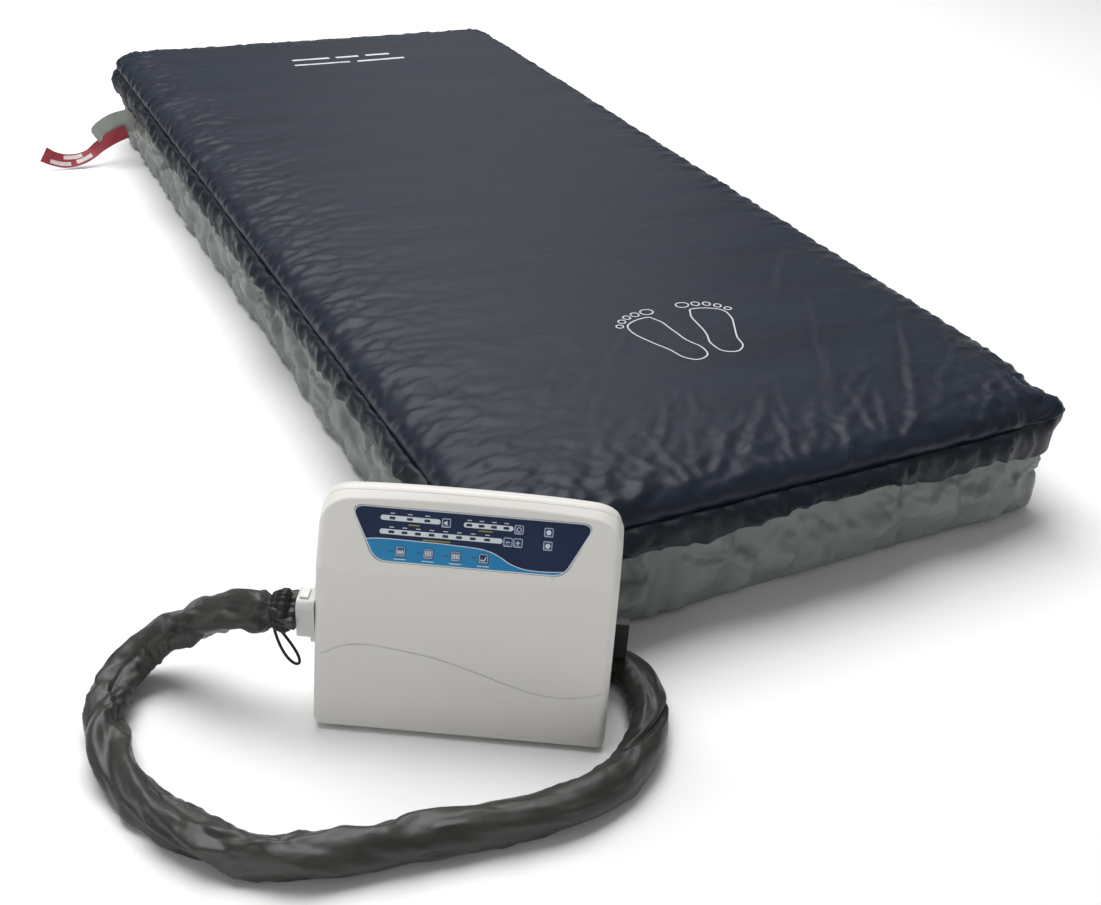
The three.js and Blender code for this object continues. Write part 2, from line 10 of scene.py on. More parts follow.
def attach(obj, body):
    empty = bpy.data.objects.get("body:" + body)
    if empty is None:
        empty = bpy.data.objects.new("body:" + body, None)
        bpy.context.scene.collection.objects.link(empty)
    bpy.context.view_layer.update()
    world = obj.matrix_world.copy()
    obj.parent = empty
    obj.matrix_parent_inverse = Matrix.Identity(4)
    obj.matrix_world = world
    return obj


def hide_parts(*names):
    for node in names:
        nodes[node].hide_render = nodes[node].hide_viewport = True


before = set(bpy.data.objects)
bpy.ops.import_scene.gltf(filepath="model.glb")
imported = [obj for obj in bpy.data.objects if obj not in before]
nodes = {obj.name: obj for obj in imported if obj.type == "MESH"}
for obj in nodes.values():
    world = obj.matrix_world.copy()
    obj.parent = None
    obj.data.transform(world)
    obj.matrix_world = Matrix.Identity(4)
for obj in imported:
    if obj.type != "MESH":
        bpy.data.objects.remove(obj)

scene = bpy.context.scene
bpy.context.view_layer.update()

# ---------------------------------------------------------------- camera
IMAGE_WIDTH_PX = 1101
FOCAL_PX = 1325.48
SENSOR_MM = 36
CAMERA_AT = (-1.01057, -2.11395, 1.08742)
AZIMUTH, PITCH, ROLL = (math.radians(a) for a in (29.440, 32.032, -4.272))


def add_camera():
    level_ahead = Vector((math.sin(AZIMUTH), math.cos(AZIMUTH), 0))
    forward = level_ahead * math.cos(PITCH) - Vector((0, 0, math.sin(PITCH)))
    level = Vector((math.cos(AZIMUTH), -math.sin(AZIMUTH), 0))
    down = forward.cross(level)
    right = math.cos(ROLL) * level + math.sin(ROLL) * down
    down = math.cos(ROLL) * down - math.sin(ROLL) * level
    data = bpy.data.cameras.new("camera")
    data.sensor_width = SENSOR_MM
    data.lens = FOCAL_PX / IMAGE_WIDTH_PX * SENSOR_MM
    data.clip_end = 50
    camera = bpy.data.objects.new("camera", data)
    turned = Matrix((right, -down, -forward)).transposed().to_4x4()
    camera.matrix_world = Matrix.Translation(CAMERA_AT) @ turned
    scene.collection.objects.link(camera)
    scene.camera = camera


add_camera()


# ---------------------------------------------------------------- mesh helpers
def mesh_object(name, verts, faces, materials, smooth=True):
    mesh = bpy.data.meshes.new(name)
    mesh.from_pydata([tuple(map(float, v)) for v in verts], [], [list(map(int, f)) for f in faces])
    mesh.validate()
    work = bmesh.new()
    work.from_mesh(mesh)
    bmesh.ops.recalc_face_normals(work, faces=work.faces)
    work.to_mesh(mesh)
    work.free()
    for material in materials if isinstance(materials, (list, tuple)) else [materials]:
        mesh.materials.append(material)
    mesh.polygons.foreach_set("use_smooth", [smooth] * len(mesh.polygons))
    made = bpy.data.objects.new(name, mesh)
    scene.collection.objects.link(made)
    return made


def place(obj, body, slot=None, *replaced):
    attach(obj, body)
    if replaced:
        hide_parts(*replaced)
    return obj


def loop_faces(rings, around, closed_rings=False):
    """Quads between consecutive rings of points; each ring closes on itself."""
    faces = []
    for i in range(rings if closed_rings else rings - 1):
        j = (i + 1) % rings
        for k in range(around):
            m = (k + 1) % around
            faces.append((i * around + k, i * around + m, j * around + m, j * around + k))
    return faces


def add_bevel(obj, width):
    bevel = obj.modifiers.new("edge", "BEVEL")
    bevel.width, bevel.segments = width, 3
    bevel.limit_method, bevel.angle_limit = "ANGLE", math.radians(35)
    bevel.harden_normals = False


def smooth_by_angle(obj, degrees):
    obj.data.polygons.foreach_set("use_smooth", [True] * len(obj.data.polygons))
    obj.data.set_sharp_from_angle(angle=math.radians(degrees))


def grid_faces(index):
    """Quads between the points of a grid of vertex numbers."""
    return np.stack([index[:-1, :-1], index[1:, :-1], index[1:, 1:], index[:-1, 1:]], -1).reshape(-1, 4)


def end_caps(rings, around):
    """The two faces that close a run of rings at its ends."""
    return [tuple(range(around)), tuple(range((rings - 1) * around, rings * around))]


def circle(radius, sides, x=0.0, y=0.0):
    turns = np.linspace(0, 2 * math.pi, sides, endpoint=False)
    return [Vector((x + radius * math.cos(a), y + radius * math.sin(a))) for a in turns]


def apply_modifiers(obj):
    mesh = bpy.data.meshes.new_from_object(obj.evaluated_get(bpy.context.evaluated_depsgraph_get()))
    obj.modifiers.clear()
    obj.data = mesh


def boolean(obj, tool):
    """Cuts the tool out of the object, and removes the tool."""
    step = obj.modifiers.new("cut", "BOOLEAN")
    step.operation, step.solver, step.object = "DIFFERENCE", "EXACT", tool
    bpy.context.view_layer.update()
    apply_modifiers(obj)
    bpy.data.objects.remove(tool)


# ---------------------------------------------------------------- noise and creases
LATTICE_SIZE = 256
LATTICE = np.random.default_rng(20).random((LATTICE_SIZE, LATTICE_SIZE)) * 2 - 1


def smooth_blend(at, i, j, u, v):
    """A value inside the square from corner (i, j), smoothly between its four corners' values."""
    u, v = u * u * (3 - 2 * u), v * v * (3 - 2 * v)
    low = at(i, j) * (1 - u) + at(i + 1, j) * u
    high = at(i, j + 1) * (1 - u) + at(i + 1, j + 1) * u
    return low * (1 - v) + high * v


def noise(x, y, seed=0):
    """Smooth noise from -1 to 1."""
    x, y = np.broadcast_arrays(np.asarray(x, float), np.asarray(y, float))
    i, j = np.floor(x).astype(int), np.floor(y).astype(int)

    def at(a, b):
        return LATTICE[(a + 57 * seed) % LATTICE_SIZE, (b + 101 * seed) % LATTICE_SIZE]

    return smooth_blend(at, i, j, x - i, y - j)


def fractal(x, y, seed=0, octaves=3):
    return sum(noise(x * 2**k, y * 2**k, seed + k) * 0.5**k for k in range(octaves))


def ridged(x, y, seed=0, octaves=3):
    """Crumpled cloth: sharp ridges between smooth hollows."""
    return sum((0.5 - np.abs(noise(x * 2**k, y * 2**k, seed + k))) * 0.5**k for k in range(octaves))


def fold_from(u, v, turn, long, wide, high):
    """A fold that leaves (u, v) at an angle."""
    return u, v, u + long * math.cos(turn), v + long * math.sin(turn), wide, high


def creases(u, v, folds, period=None):
    """Height of a set of folds at surface coordinates (u, v). A fold runs from one point to another."""
    height = np.zeros_like(u)
    for u0, v0, u1, v1, width, high in folds:
        along_u, along_v = u1 - u0, v1 - v0
        length = math.hypot(along_u, along_v)
        du, dv = u - u0, v - v0
        if period:
            dv = (dv + period / 2) % period - period / 2
        along = (du * along_u + dv * along_v) / length**2
        across = (dv * along_u - du * along_v) / length
        near = (along > -0.02) & (along < 1.02) & (np.abs(across) < 5 * width)
        t, c = along[near], across[near] / width
        c = c / (1.25 - 0.6 * np.clip(t, 0, 1))
        taper = np.clip(np.sin(np.pi * np.clip(t, 0, 1) ** 0.65), 0, 1) ** 0.7
        height[near] += high * taper * (np.exp(-(c**2)) - 0.55 * np.exp(-((c - 1.7) ** 2)))
    return height


# ---------------------------------------------------------------- cloth simulation
CLOTH_FRAMES, SHRINK_LEVELS = 14, 24


def buckled(width, length, step, looseness, spring, seed, held=(1, 1, 1, 1)):
    """Simulates a flat cloth that is larger than the bed it is held to, and returns how high it buckles.
    looseness(u, v) is the share by which it is larger there.
    held says which of its four edges are sewn down."""
    rows, columns = int(round(width / step)) + 1, int(round(length / step)) + 1
    u, v = np.meshgrid(np.linspace(0, width, rows), np.linspace(0, length, columns), indexing="ij")
    draw = np.random.default_rng(seed)
    start = np.stack([u, v, draw.normal(0, step * 0.02, u.shape)], -1).reshape(-1, 3)
    index = np.arange(rows * columns).reshape(rows, columns)
    mesh = bpy.data.meshes.new("buckling")
    mesh.from_pydata(start.tolist(), [], grid_faces(index).tolist())
    sheet = bpy.data.objects.new("buckling", mesh)
    scene.collection.objects.link(sheet)
    sewn = np.zeros(u.shape, bool)
    for edge, sewn_down in zip((np.s_[0], np.s_[-1], np.s_[:, 0], np.s_[:, -1]), held):
        sewn[edge] |= bool(sewn_down)
    bed, tight = sheet.vertex_groups.new(name="bed"), sheet.vertex_groups.new(name="tight")
    bed.add(index[sewn].tolist(), 1.0, "REPLACE")
    bed.add(index[~sewn].tolist(), spring, "REPLACE")
    share = np.clip(looseness(u, v), 0, None)
    levels = np.round((1 - share / share.max()) * SHRINK_LEVELS).astype(int)
    for level in range(1, SHRINK_LEVELS + 1):
        tight.add(index[levels == level].tolist(), level / SHRINK_LEVELS, "REPLACE")
    cloth = sheet.modifiers.new("cloth", "CLOTH")
    cloth.point_cache.frame_start, cloth.point_cache.frame_end = 1, CLOTH_FRAMES
    setting = cloth.settings
    setting.vertex_group_mass, setting.vertex_group_shrink = "bed", "tight"
    setting.shrink_min, setting.shrink_max = -float(share.max()), 0
    setting.quality, setting.mass = 5, 0.15
    setting.effector_weights.gravity = 0
    setting.tension_stiffness = setting.compression_stiffness = 15
    setting.bending_stiffness = 0.5
    for frame_number in range(1, CLOTH_FRAMES + 1):
        scene.frame_set(frame_number)
    moved = np.zeros(len(start) * 3, np.float32)
    sheet.evaluated_get(bpy.context.evaluated_depsgraph_get()).data.vertices.foreach_get("co", moved)
    height = moved.reshape(-1, 3)[:, 2].reshape(u.shape)
    bpy.data.objects.remove(sheet)
    scene.frame_set(1)
    return height


def sampled(grid, width, length, u, v):
    """A grid's value at (u, v), smoothly between its points."""
    at_u = np.clip(u / width * (grid.shape[0] - 1), 0, grid.shape[0] - 1.001)
    at_v = np.clip(v / length * (grid.shape[1] - 1), 0, grid.shape[1] - 1.001)
    i, j = at_u.astype(int), at_v.astype(int)
    return smooth_blend(lambda a, b: grid[a, b], i, j, at_u - i, at_v - j)


def buckled_band(width, length, step, looseness, spring, seed, held):
    """A simulated band whose two ends are blended, so that it runs round without a break."""
    overlap = 0.15
    grid = buckled(width, length + overlap, step, looseness, spring, seed, held=held)
    count = int(round(overlap / (length + overlap) * (grid.shape[1] - 1)))
    share = np.linspace(0, 1, count)[None]
    band_grid = grid[:, : grid.shape[1] - count].copy()
    band_grid[:, :count] = grid[:, :count] * share + grid[:, -count:] * (1 - share)
    return band_grid


# ---------------------------------------------------------------- materials
def srgb(code):
    value = [int(code[i : i + 2], 16) / 255 for i in (1, 3, 5)]
    return [v / 12.92 if v <= 0.04045 else ((v + 0.055) / 1.055) ** 2.4 for v in value]


def material(
    name, light, dark, rough=(0.4, 0.55), metal=0.0, patch=12.0, bumps=(), sheen=0.0,
    stretch=(1, 1, 1), gloss=0.5
):
    """A principled material whose colour and roughness vary in patches.
    bumps are (kind, scale, height in metres) and kind is noise, weave or grain."""
    made = bpy.data.materials.new(name)
    made.use_nodes = True
    tree = made.node_tree

    def put(node, values):
        for socket, value in values.items():
            node.inputs[socket].default_value = value

    def add(kind, **values):
        node = tree.nodes.new("ShaderNode" + kind)
        put(node, values)
        return node

    shader = tree.nodes["Principled BSDF"]
    put(
        shader,
        {"Metallic": metal, "Sheen Weight": sheen, "Sheen Roughness": 0.4, "Specular IOR Level": gloss}
    )
    at = add("TexCoord").outputs["Object"]
    mapping = add("Mapping", Scale=stretch)
    tree.links.new(at, mapping.inputs["Vector"])
    cloud = add("TexNoise", Scale=patch, Detail=5)
    tree.links.new(mapping.outputs["Vector"], cloud.inputs["Vector"])
    mix = add("Mix")
    mix.data_type = "RGBA"
    put(mix, {"A": (*srgb(dark), 1), "B": (*srgb(light), 1)})
    tree.links.new(cloud.outputs["Fac"], mix.inputs["Factor"])
    tree.links.new(mix.outputs["Result"], shader.inputs["Base Color"])
    spread = add("MapRange")
    put(spread, {"To Min": rough[0], "To Max": rough[1], "From Min": 0.3, "From Max": 0.7})
    tree.links.new(cloud.outputs["Fac"], spread.inputs["Value"])
    tree.links.new(spread.outputs["Result"], shader.inputs["Roughness"])
    previous = None
    for kind, scale, height in bumps:
        if kind == "weave":
            source = add("TexWave", Scale=scale, Distortion=2.0)
            source.bands_direction = "DIAGONAL"
        else:
            source = add("TexNoise", Scale=scale, Detail=6 if kind == "noise" else 2)
        tree.links.new(mapping.outputs["Vector"] if kind == "noise" else at, source.inputs["Vector"])
        bump = add("Bump", Strength=1, Distance=height)
        tree.links.new(source.outputs["Fac"], bump.inputs["Height"])
        if previous:
            tree.links.new(previous.outputs["Normal"], bump.inputs["Normal"])
        previous = bump
    if previous:
        tree.links.new(previous.outputs["Normal"], shader.inputs["Normal"])
    return made


def grain(scale, height):
    return (("grain", scale, height),)


def weave(scale, height):
    return (("weave", scale, height),)


FABRIC = (*weave(900, 0.00003), *grain(420, 0.00010))
NAVY = material(
    "navy_nylon", "#212937", "#191f2a", (0.34, 0.48), patch=9, bumps=(*FABRIC, ("noise", 26, 0.0008)),
    sheen=0.02, stretch=(0.35, 1.6, 1), gloss=0.22
)
# The top cover's navy nylon again, painted darker: painted shade for the flap's upright sides.
NAVY_PAINTED_SHADE = material(
    "navy_nylon_painted_shade", "#1a202b", "#12171f", (0.36, 0.5), patch=30, bumps=(*FABRIC, ("noise", 60, 0.0007)),
    sheen=0.02, gloss=0.24
)
GREY = material(
    "grey_nylon", "#848b87", "#656c69", (0.34, 0.5), patch=14, bumps=(*FABRIC, ("noise", 34, 0.0014)),
    sheen=0.02, gloss=0.45
)
WEBBING = material(
    "grey_webbing", "#b3b6b0", "#999d97", (0.6, 0.75), patch=40,
    bumps=(("weave", 420, 0.0002), ("grain", 700, 0.0001)), gloss=0.3
)
SLEEVE = material(
    "sleeve_nylon", "#363732", "#1d1e1c", (0.36, 0.5), patch=22, bumps=(*FABRIC, ("noise", 70, 0.0006)),
    sheen=0.03, gloss=0.5
)
# The sleeve's nylon at the gathered cuff, painted darker: painted shade beside the unit.
CUFF_PAINTED_SHADE = material("sleeve_cuff", "#292b28", "#1c1e1c", (0.45, 0.6), patch=60, bumps=FABRIC, gloss=0.35)
SHELL = material("shell_plastic", "#dedcd7", "#d8d6d0", (0.36, 0.44), patch=6, bumps=grain(1400, 0.00002))
LIGHT_GREY = material(
    "light_grey_plastic", "#cdcecb", "#c1c3c0", (0.34, 0.44), patch=20, bumps=grain(1200, 0.00002)
)
BLACK = material("black_plastic", "#1d1e1e", "#141516", (0.42, 0.58), patch=40, bumps=grain(1500, 0.00004))
RUBBER = material("rubber", "#242424", "#1a1a1a", (0.6, 0.75), patch=50, bumps=grain(900, 0.00006))
CELL = material("cell_fabric", "#3f5273", "#324364", (0.4, 0.55), patch=18, bumps=FABRIC, sheen=0.1)
METAL = material(
    "die_cast_metal", "#9da0a4", "#85888c", (0.28, 0.42), 0.9, patch=60, bumps=grain(700, 0.00005)
)
BOARD = material("circuit_board", "#2c6b41", "#1f5031", (0.35, 0.5), patch=160)
FOAM = material("filter_foam", "#2b2c2b", "#171817", (0.8, 0.95), patch=500, bumps=grain(700, 0.0006))
ZIP_TAPE = material("zip_tape", "#1d2026", "#111317", (0.5, 0.7), patch=120, bumps=weave(700, 0.0001))
TUBE = material("clear_tube", "#b9c0c0", "#a2aaaa", (0.2, 0.3), patch=10, bumps=grain(500, 0.00002))
PRINT = material("white_print", "#d3d7da", "#bcc2c6", (0.5, 0.65), patch=200, bumps=grain(900, 0.00005))
TAG_RED = material("red_ribbon", "#a8303f", "#7f2230", (0.45, 0.6), patch=90, bumps=weave(600, 0.0001))
TAG_WHITE = material("white_ribbon", "#e3dcd9", "#c9bdbb", (0.45, 0.6), patch=90, bumps=weave(600, 0.0001))
CORD_BLACK = material("elastic_cord", "#151516", "#0c0c0d", (0.5, 0.7), patch=300, bumps=weave(1200, 0.0001))
DARK_BLUE = material(
    "overlay_dark_blue", "#1b2c4e", "#14213c", (0.2, 0.28), patch=18, bumps=grain(900, 0.00001)
)
LIGHT_BLUE = material(
    "overlay_light_blue", "#2a87b8", "#1b78ad", (0.2, 0.28), patch=18, bumps=grain(900, 0.00001)
)
OVERLAY_WHITE = material("overlay_white", "#d3dae2", "#c5d0db", (0.25, 0.35), patch=40)
OVERLAY_YELLOW = material("overlay_yellow", "#a59d3c", "#96902f", (0.25, 0.35), patch=40)
LED_DARK = material("led_window", "#37424a", "#252f36", (0.15, 0.22), patch=90)
KEY_BLUE = material("key_blue", "#20386a", "#172a4f", (0.25, 0.34), patch=60)

# ---------------------------------------------------------------- hose set: the cord and what is on it
HOSE_ROUTE_MM = [
    (-699, -955.5, 124.5), (-724, -940, 119), (-748, -918, 105), (-775, -891, 83), (-803, -874, 58),
    (-830, -869, 37), (-855, -879, 25), (-874, -902, 21.8), (-891, -939, 21.8), (-899, -977, 21.8),
    (-897, -1019, 21.8), (-889, -1058, 21.8), (-876, -1096, 21.8), (-855, -1134, 21.8),
    (-825, -1172, 21.8), (-791, -1202, 21.8), (-752, -1221, 21.8), (-695, -1234, 21.8),
    (-622, -1247, 21.8), (-548, -1260, 21.8), (-487, -1267, 21.8), (-438, -1262, 21.8),
    (-393, -1246, 21.8), (-355, -1217, 21.8), (-327, -1178, 21.8), (-312, -1138, 21.8),
    (-311, -1108, 21.8), (-323, -1082, 21.8), (-342, -1063, 21.8), (-350, -1047, 21.8),
]
UNIT_AT = Vector((-0.5388, -1.112, 0))
UNIT_YAW = math.radians(-30.6)
UNIT = Matrix.Translation(UNIT_AT) @ Matrix.Rotation(UNIT_YAW, 4, "Z")
SLEEVE_FACE = -0.1886
PORT_Y, PORT_Z = 0.053, 0.125
SLEEVE_DIAMETER = 0.043


def from_port(distance):
    return np.array(UNIT @ Vector((SLEEVE_FACE - distance, PORT_Y, PORT_Z)))


def catmull_rom(points, per_span):
    """Centripetal Catmull-Rom curve through the points."""
    p = np.vstack([2 * points[0] - points[1], points, 2 * points[-1] - points[-2]])
    line = []
    for i in range(1, len(p) - 2):
        knot = [0.0]
        for k in range(3):
            knot.append(knot[-1] + np.linalg.norm(p[i + k] - p[i + k - 1]) ** 0.5)
        for t in np.linspace(knot[1], knot[2], per_span, endpoint=False):
            layer = [p[i + k - 1] for k in range(4)]
            for spans in (((0, 1), (1, 2), (2, 3)), ((0, 2), (1, 3)), ((1, 2),)):
                shares = [(t - knot[low]) / (knot[high] - knot[low]) for low, high in spans]
                layer = [a * (1 - share) + b * share for a, b, share in zip(layer, layer[1:], shares)]
            line.append(layer[0])
    line.append(p[-2])
    return np.array(line)


def respaced(line, step):
    along = np.concatenate([[0], np.cumsum(np.linalg.norm(np.diff(line, axis=0), axis=1))])
    at = np.linspace(0, along[-1], int(along[-1] / step) + 2)
    return np.stack([np.interp(at, along, line[:, k]) for k in range(3)], 1), at


hose_points = np.vstack([
    [from_port(0.0006), from_port(0.015)],
    np.array(HOSE_ROUTE_MM) / 1000,
    [(-0.350, -1.0306, 0.0218)],
])
hose_line, hose_s = respaced(catmull_rom(hose_points, 16), 0.004)
hose_length = hose_s[-1]


def line_frames(line):
    """Tangent, side and up at each point of a line that is never upright."""
    tangent = np.gradient(line, axis=0)
    tangent /= np.linalg.norm(tangent, axis=1)[:, None]
    side = np.cross(tangent, [0, 0, 1])
    side /= np.linalg.norm(side, axis=1)[:, None]
    return tangent, side, np.cross(side, tangent)


tangent, side, up = line_frames(hose_line)


def ring_of_cloth(ring, theta, radius):
    """A ring of points around the hose's line."""
    radius = np.asarray(radius).reshape(-1, 1)
    return hose_line[ring] + radius * (
        np.sin(theta)[:, None] * -side[ring] + np.cos(theta)[:, None] * up[ring]
    )


def make_sleeve():
    around = 72
    theta = np.linspace(0, 2 * math.pi, around, endpoint=False)
    s, angle = np.meshgrid(hose_s, theta, indexing="ij")
    bend = np.gradient(np.unwrap(np.arctan2(tangent[:, 1], tangent[:, 0])), hose_s)
    bend = np.convolve(bend, np.ones(15) / 15, "same")[:, None]
    radius = SLEEVE_DIAMETER / 2
    girth = 2 * math.pi * radius
    v = angle * radius
    folds = []
    draw = np.random.default_rng(5)
    for _ in range(84):
        start = draw.uniform(0.02, hose_length - 0.05)
        lively = 1.0 if start < 0.85 else 0.55
        reach = draw.uniform(0.03, 0.13)
        twist, low = draw.uniform(-0.045, 0.045), draw.uniform(0, girth)
        wide, high = draw.uniform(0.003, 0.0065), 0.0034 * lively * draw.uniform(0.4, 1)
        folds.append((start, low, start + reach, low + twist, wide, high))
    height = creases(s, v, folds, girth)
    inner = np.sign(bend) * np.cos(angle - math.pi / 2)
    squeezed = np.clip(np.abs(bend) / 9, 0, 1) * np.clip(inner, 0, 1)
    pinches = np.sin(s / 0.017 * 2 * math.pi + 3 * noise(s / 0.03, angle, 3))
    height -= squeezed * 0.0014 * (0.5 + 0.5 * pinches)
    height += 0.0008 * fractal(s / 0.07, angle * 1.4 + s * 9, 4)
    twist = angle + s * 16
    lively = 0.25 + 0.75 / (1 + np.exp((s - 0.62) / 0.05))
    facet = 1 - np.abs(np.mod(twist / (2 * math.pi / 3) + 0.35 * noise(s / 0.06, 0 * s, 14), 1) * 2 - 1)
    coarse = ridged(s / 0.060, 1.1 * np.cos(angle) + s * 20, 15, 2)
    fine = ridged(s / 0.030 + np.sin(angle), 1.6 * np.cos(angle) - s * 12, 16, 2)
    height += lively * (0.0090 * (facet - 0.60) + 0.0036 * (coarse - 0.3))
    height += lively * 0.0020 * (fine - 0.25)
    zip_at = 0.55 - 2.6 * np.clip((s - 1.02) / 0.16, 0, 1)
    on_zip = 1 / (1 + np.exp((1.03 - s) / 0.006)) / (1 + np.exp((s - 1.19) / 0.006))
    off_zip = (np.mod(angle - zip_at + math.pi, 2 * math.pi) - math.pi) * radius
    rims, groove = np.exp(-(((np.abs(off_zip) - 0.0052) / 0.0030) ** 2)), np.exp(-((off_zip / 0.0026) ** 2))
    height += on_zip * (0.0016 * rims - 0.0060 * groove)
    pleats = np.exp(-s / 0.022) + np.exp(-(hose_length - s) / 0.02)
    height += pleats * 0.0022 * np.cos(13 * angle + 1.5 * noise(angle * 2, s / 0.02, 8))
    height -= 0.0052 * np.exp(-((s - 0.030) / 0.006) ** 2)
    height += 0.0035 * np.exp(-((s - 0.046) / 0.012) ** 2)
    least, most = 0.0158, 0.0272
    girth_scale = np.clip(radius * (1.03 + 0.06 * noise(s / 0.11, 0 * s, 9)) + height, least, most)
    around_line = 1.04 * np.sin(angle)[
        ..., None
    ] * -side[:, None] + 0.98 * np.cos(angle)[..., None] * up[:, None]
    points = hose_line[:, None] + girth_scale[..., None] * around_line
    points[..., 2] = np.maximum(points[..., 2], 0.0008)
    rings = len(hose_line)
    verts = list(points.reshape(-1, 3))
    faces = loop_faces(rings, around)
    hole = 0.0135
    for ring in (0, rings - 1):
        start = len(verts)
        verts += list(ring_of_cloth(ring, theta, hole))
        for k in range(around):
            m = (k + 1) % around
            faces.append((ring * around + k, ring * around + m, start + m, start + k))
        faces.append(tuple(range(start, start + around)))
    sleeve = mesh_object("hose_sleeve_cloth", verts, faces, SLEEVE)
    return place(sleeve, "mattress", "sleeve_fabric", "hose_sleeve", "air_hose_a", "air_hose_b")


def tube(name, points, radius, materials, sides=12, closed=False):
    """A round tube along a smooth line, with its ends closed."""
    line = np.array(points, float)
    tangent = np.gradient(line, axis=0)
    tangent /= np.linalg.norm(tangent, axis=1)[:, None]
    normal = np.cross(tangent[0], [0.3, 0.2, 0.93])
    normal /= np.linalg.norm(normal)
    verts = []
    for i, at in enumerate(line):
        normal = normal - tangent[i] * (normal @ tangent[i])
        normal /= np.linalg.norm(normal)
        other = np.cross(tangent[i], normal)
        for k in range(sides):
            a = 2 * math.pi * k / sides
            verts.append(at + radius * (math.cos(a) * normal + math.sin(a) * other))
    faces = loop_faces(len(line), sides, closed)
    if not closed:
        faces += end_caps(len(line), sides)
    return mesh_object(name, verts, faces, materials)


def make_sleeve_details():
    """The gathered cuff at the port, and its drawcord loop with a stopper."""
    around, rows, first, last = 96, 9, 2, 7
    theta = np.linspace(0, 2 * math.pi, around, endpoint=False)
    shares = np.linspace(0, 1, rows)
    at_rings = [int(first + t * (last - first)) for t in shares]
    verts = []
    for ring, t in zip(at_rings, shares):
        puff = math.sin(math.pi * t)
        gathers = 0.0012 * np.cos(17 * theta + 2 * np.sin(3 * theta)) * (0.4 + puff)
        verts += list(ring_of_cloth(ring, theta, 0.0205 + 0.0034 * puff + gathers))
    for ring in reversed(at_rings):
        verts += list(ring_of_cloth(ring, theta, 0.0165))
    # The cuff takes the sleeve nylon with painted shade.
    cuff = mesh_object("hose_sleeve_cuff", verts, loop_faces(2 * rows, around, True), CUFF_PAINTED_SHADE)
    start = hose_line[8] - 0.020 * up[8]
    toward = Vector((0.30, -0.52, -0.80)).normalized()
    out = Vector((0.8607, -0.509, 0)).normalized()
    loop = []
    for a in np.linspace(0, 1, 40) * 2 * math.pi:
        width = 0.0105 * math.sin(a) * (0.35 + 0.65 * math.sin(a / 2) ** 2)
        loop.append(np.array(Vector(start) + toward * (0.027 * (1 - math.cos(a))) + out * width))
    drawcord = tube("sleeve_drawcord", loop, 0.0017, CORD_BLACK, 10)
    below = [start + np.array(toward) * d for d in (-0.001, 0.002, 0.006, 0.009)]
    stopper = tube("drawcord_stopper", below, 0.0038, BLACK, 16)
    return [place(piece, "mattress", "sleeve_fabric") for piece in (cuff, drawcord, stopper)]


sleeve = make_sleeve()
sleeve_parts = make_sleeve_details()

# ---------------------------------------------------------------- mattress covers
HALF_X, HALF_Y, HEIGHT = 0.457, 1.016, 0.203
CORNER = 0.052
CREST = [  # inset from the side, height: from the seam up over the rounded edge
    (-0.0062, 0.1664), (-0.0066, 0.1700), (-0.0050, 0.1790), (0.0030, 0.1890), (0.0150, 0.1960),
    (0.0330, 0.2003), (0.0600, 0.2035), (0.1000, 0.2052), (0.1600, 0.2060), (0.2500, 0.2064),
]


def smooth_line(points, count):
    line = catmull_rom(np.array([(x, z, 0) for x, z in points], float), 24)[:, :2]
    along = np.concatenate([[0], np.cumsum(np.linalg.norm(np.diff(line, axis=0), axis=1))])
    at = np.linspace(0, along[-1], count)
    return np.interp(at, along, line[:, 0]), np.interp(at, along, line[:, 1]), at


CREST_IN, CREST_Z, CREST_S = smooth_line(CREST, 500)


def outline_point(side_share_x, side_share_y, half_x, half_y, corner):
    """A point on a square's edge, moved to the same place on a rounded rectangle's edge."""
    x, y = side_share_x * half_x, side_share_y * half_y
    corner = np.minimum(corner, np.minimum(half_x, half_y) * 0.999)
    beyond_x = np.clip(np.abs(x) - (half_x - corner), 0, None)
    beyond_y = np.clip(np.abs(y) - (half_y - corner), 0, None)
    on_end = np.abs(side_share_y) >= np.abs(side_share_x)
    share = np.where(on_end, beyond_x, beyond_y) / np.maximum(corner, 1e-6)
    angle = share * math.pi / 4
    near, far = np.sin(angle) * corner, np.cos(angle) * corner
    in_corner = share > 0
    out_x = np.where(on_end, half_x - corner + near, half_x - corner + far)
    out_y = np.where(on_end, half_y - corner + far, half_y - corner + near)
    x = np.where(in_corner, np.sign(x) * out_x, x)
    y = np.where(in_corner, np.sign(y) * out_y, y)
    return x, y


EAR_AT = np.array([0.441, -1.001])
CELL_STRAIGHT, CELL_RADIUS = 0.398, 0.04
CELL_AXIS, CELLS_FROM, CELL_PITCH = 0.1605, -0.997, 0.1245


def ear_push(x, y, z):
    """How far the pinched corner at the foot's right stands out, as a shift of (x, y, z)."""
    far = np.hypot(x - EAR_AT[0], y - EAR_AT[1])
    height = np.exp(-(((z - 0.172) / 0.018) ** 2))
    share = np.exp(-((far / 0.024) ** 2)) * height
    fold = 1 + 0.16 * np.sin((x - y) / 0.0075) * (1 - share)
    around = np.exp(-(((far - 0.052) / 0.022) ** 2)) * np.exp(-(((z - 0.176) / 0.026) ** 2))
    out = share * fold
    return np.stack([0.014 * out - 0.015 * around, -0.003 * out + 0.005 * around, 0.004 * share], -1)


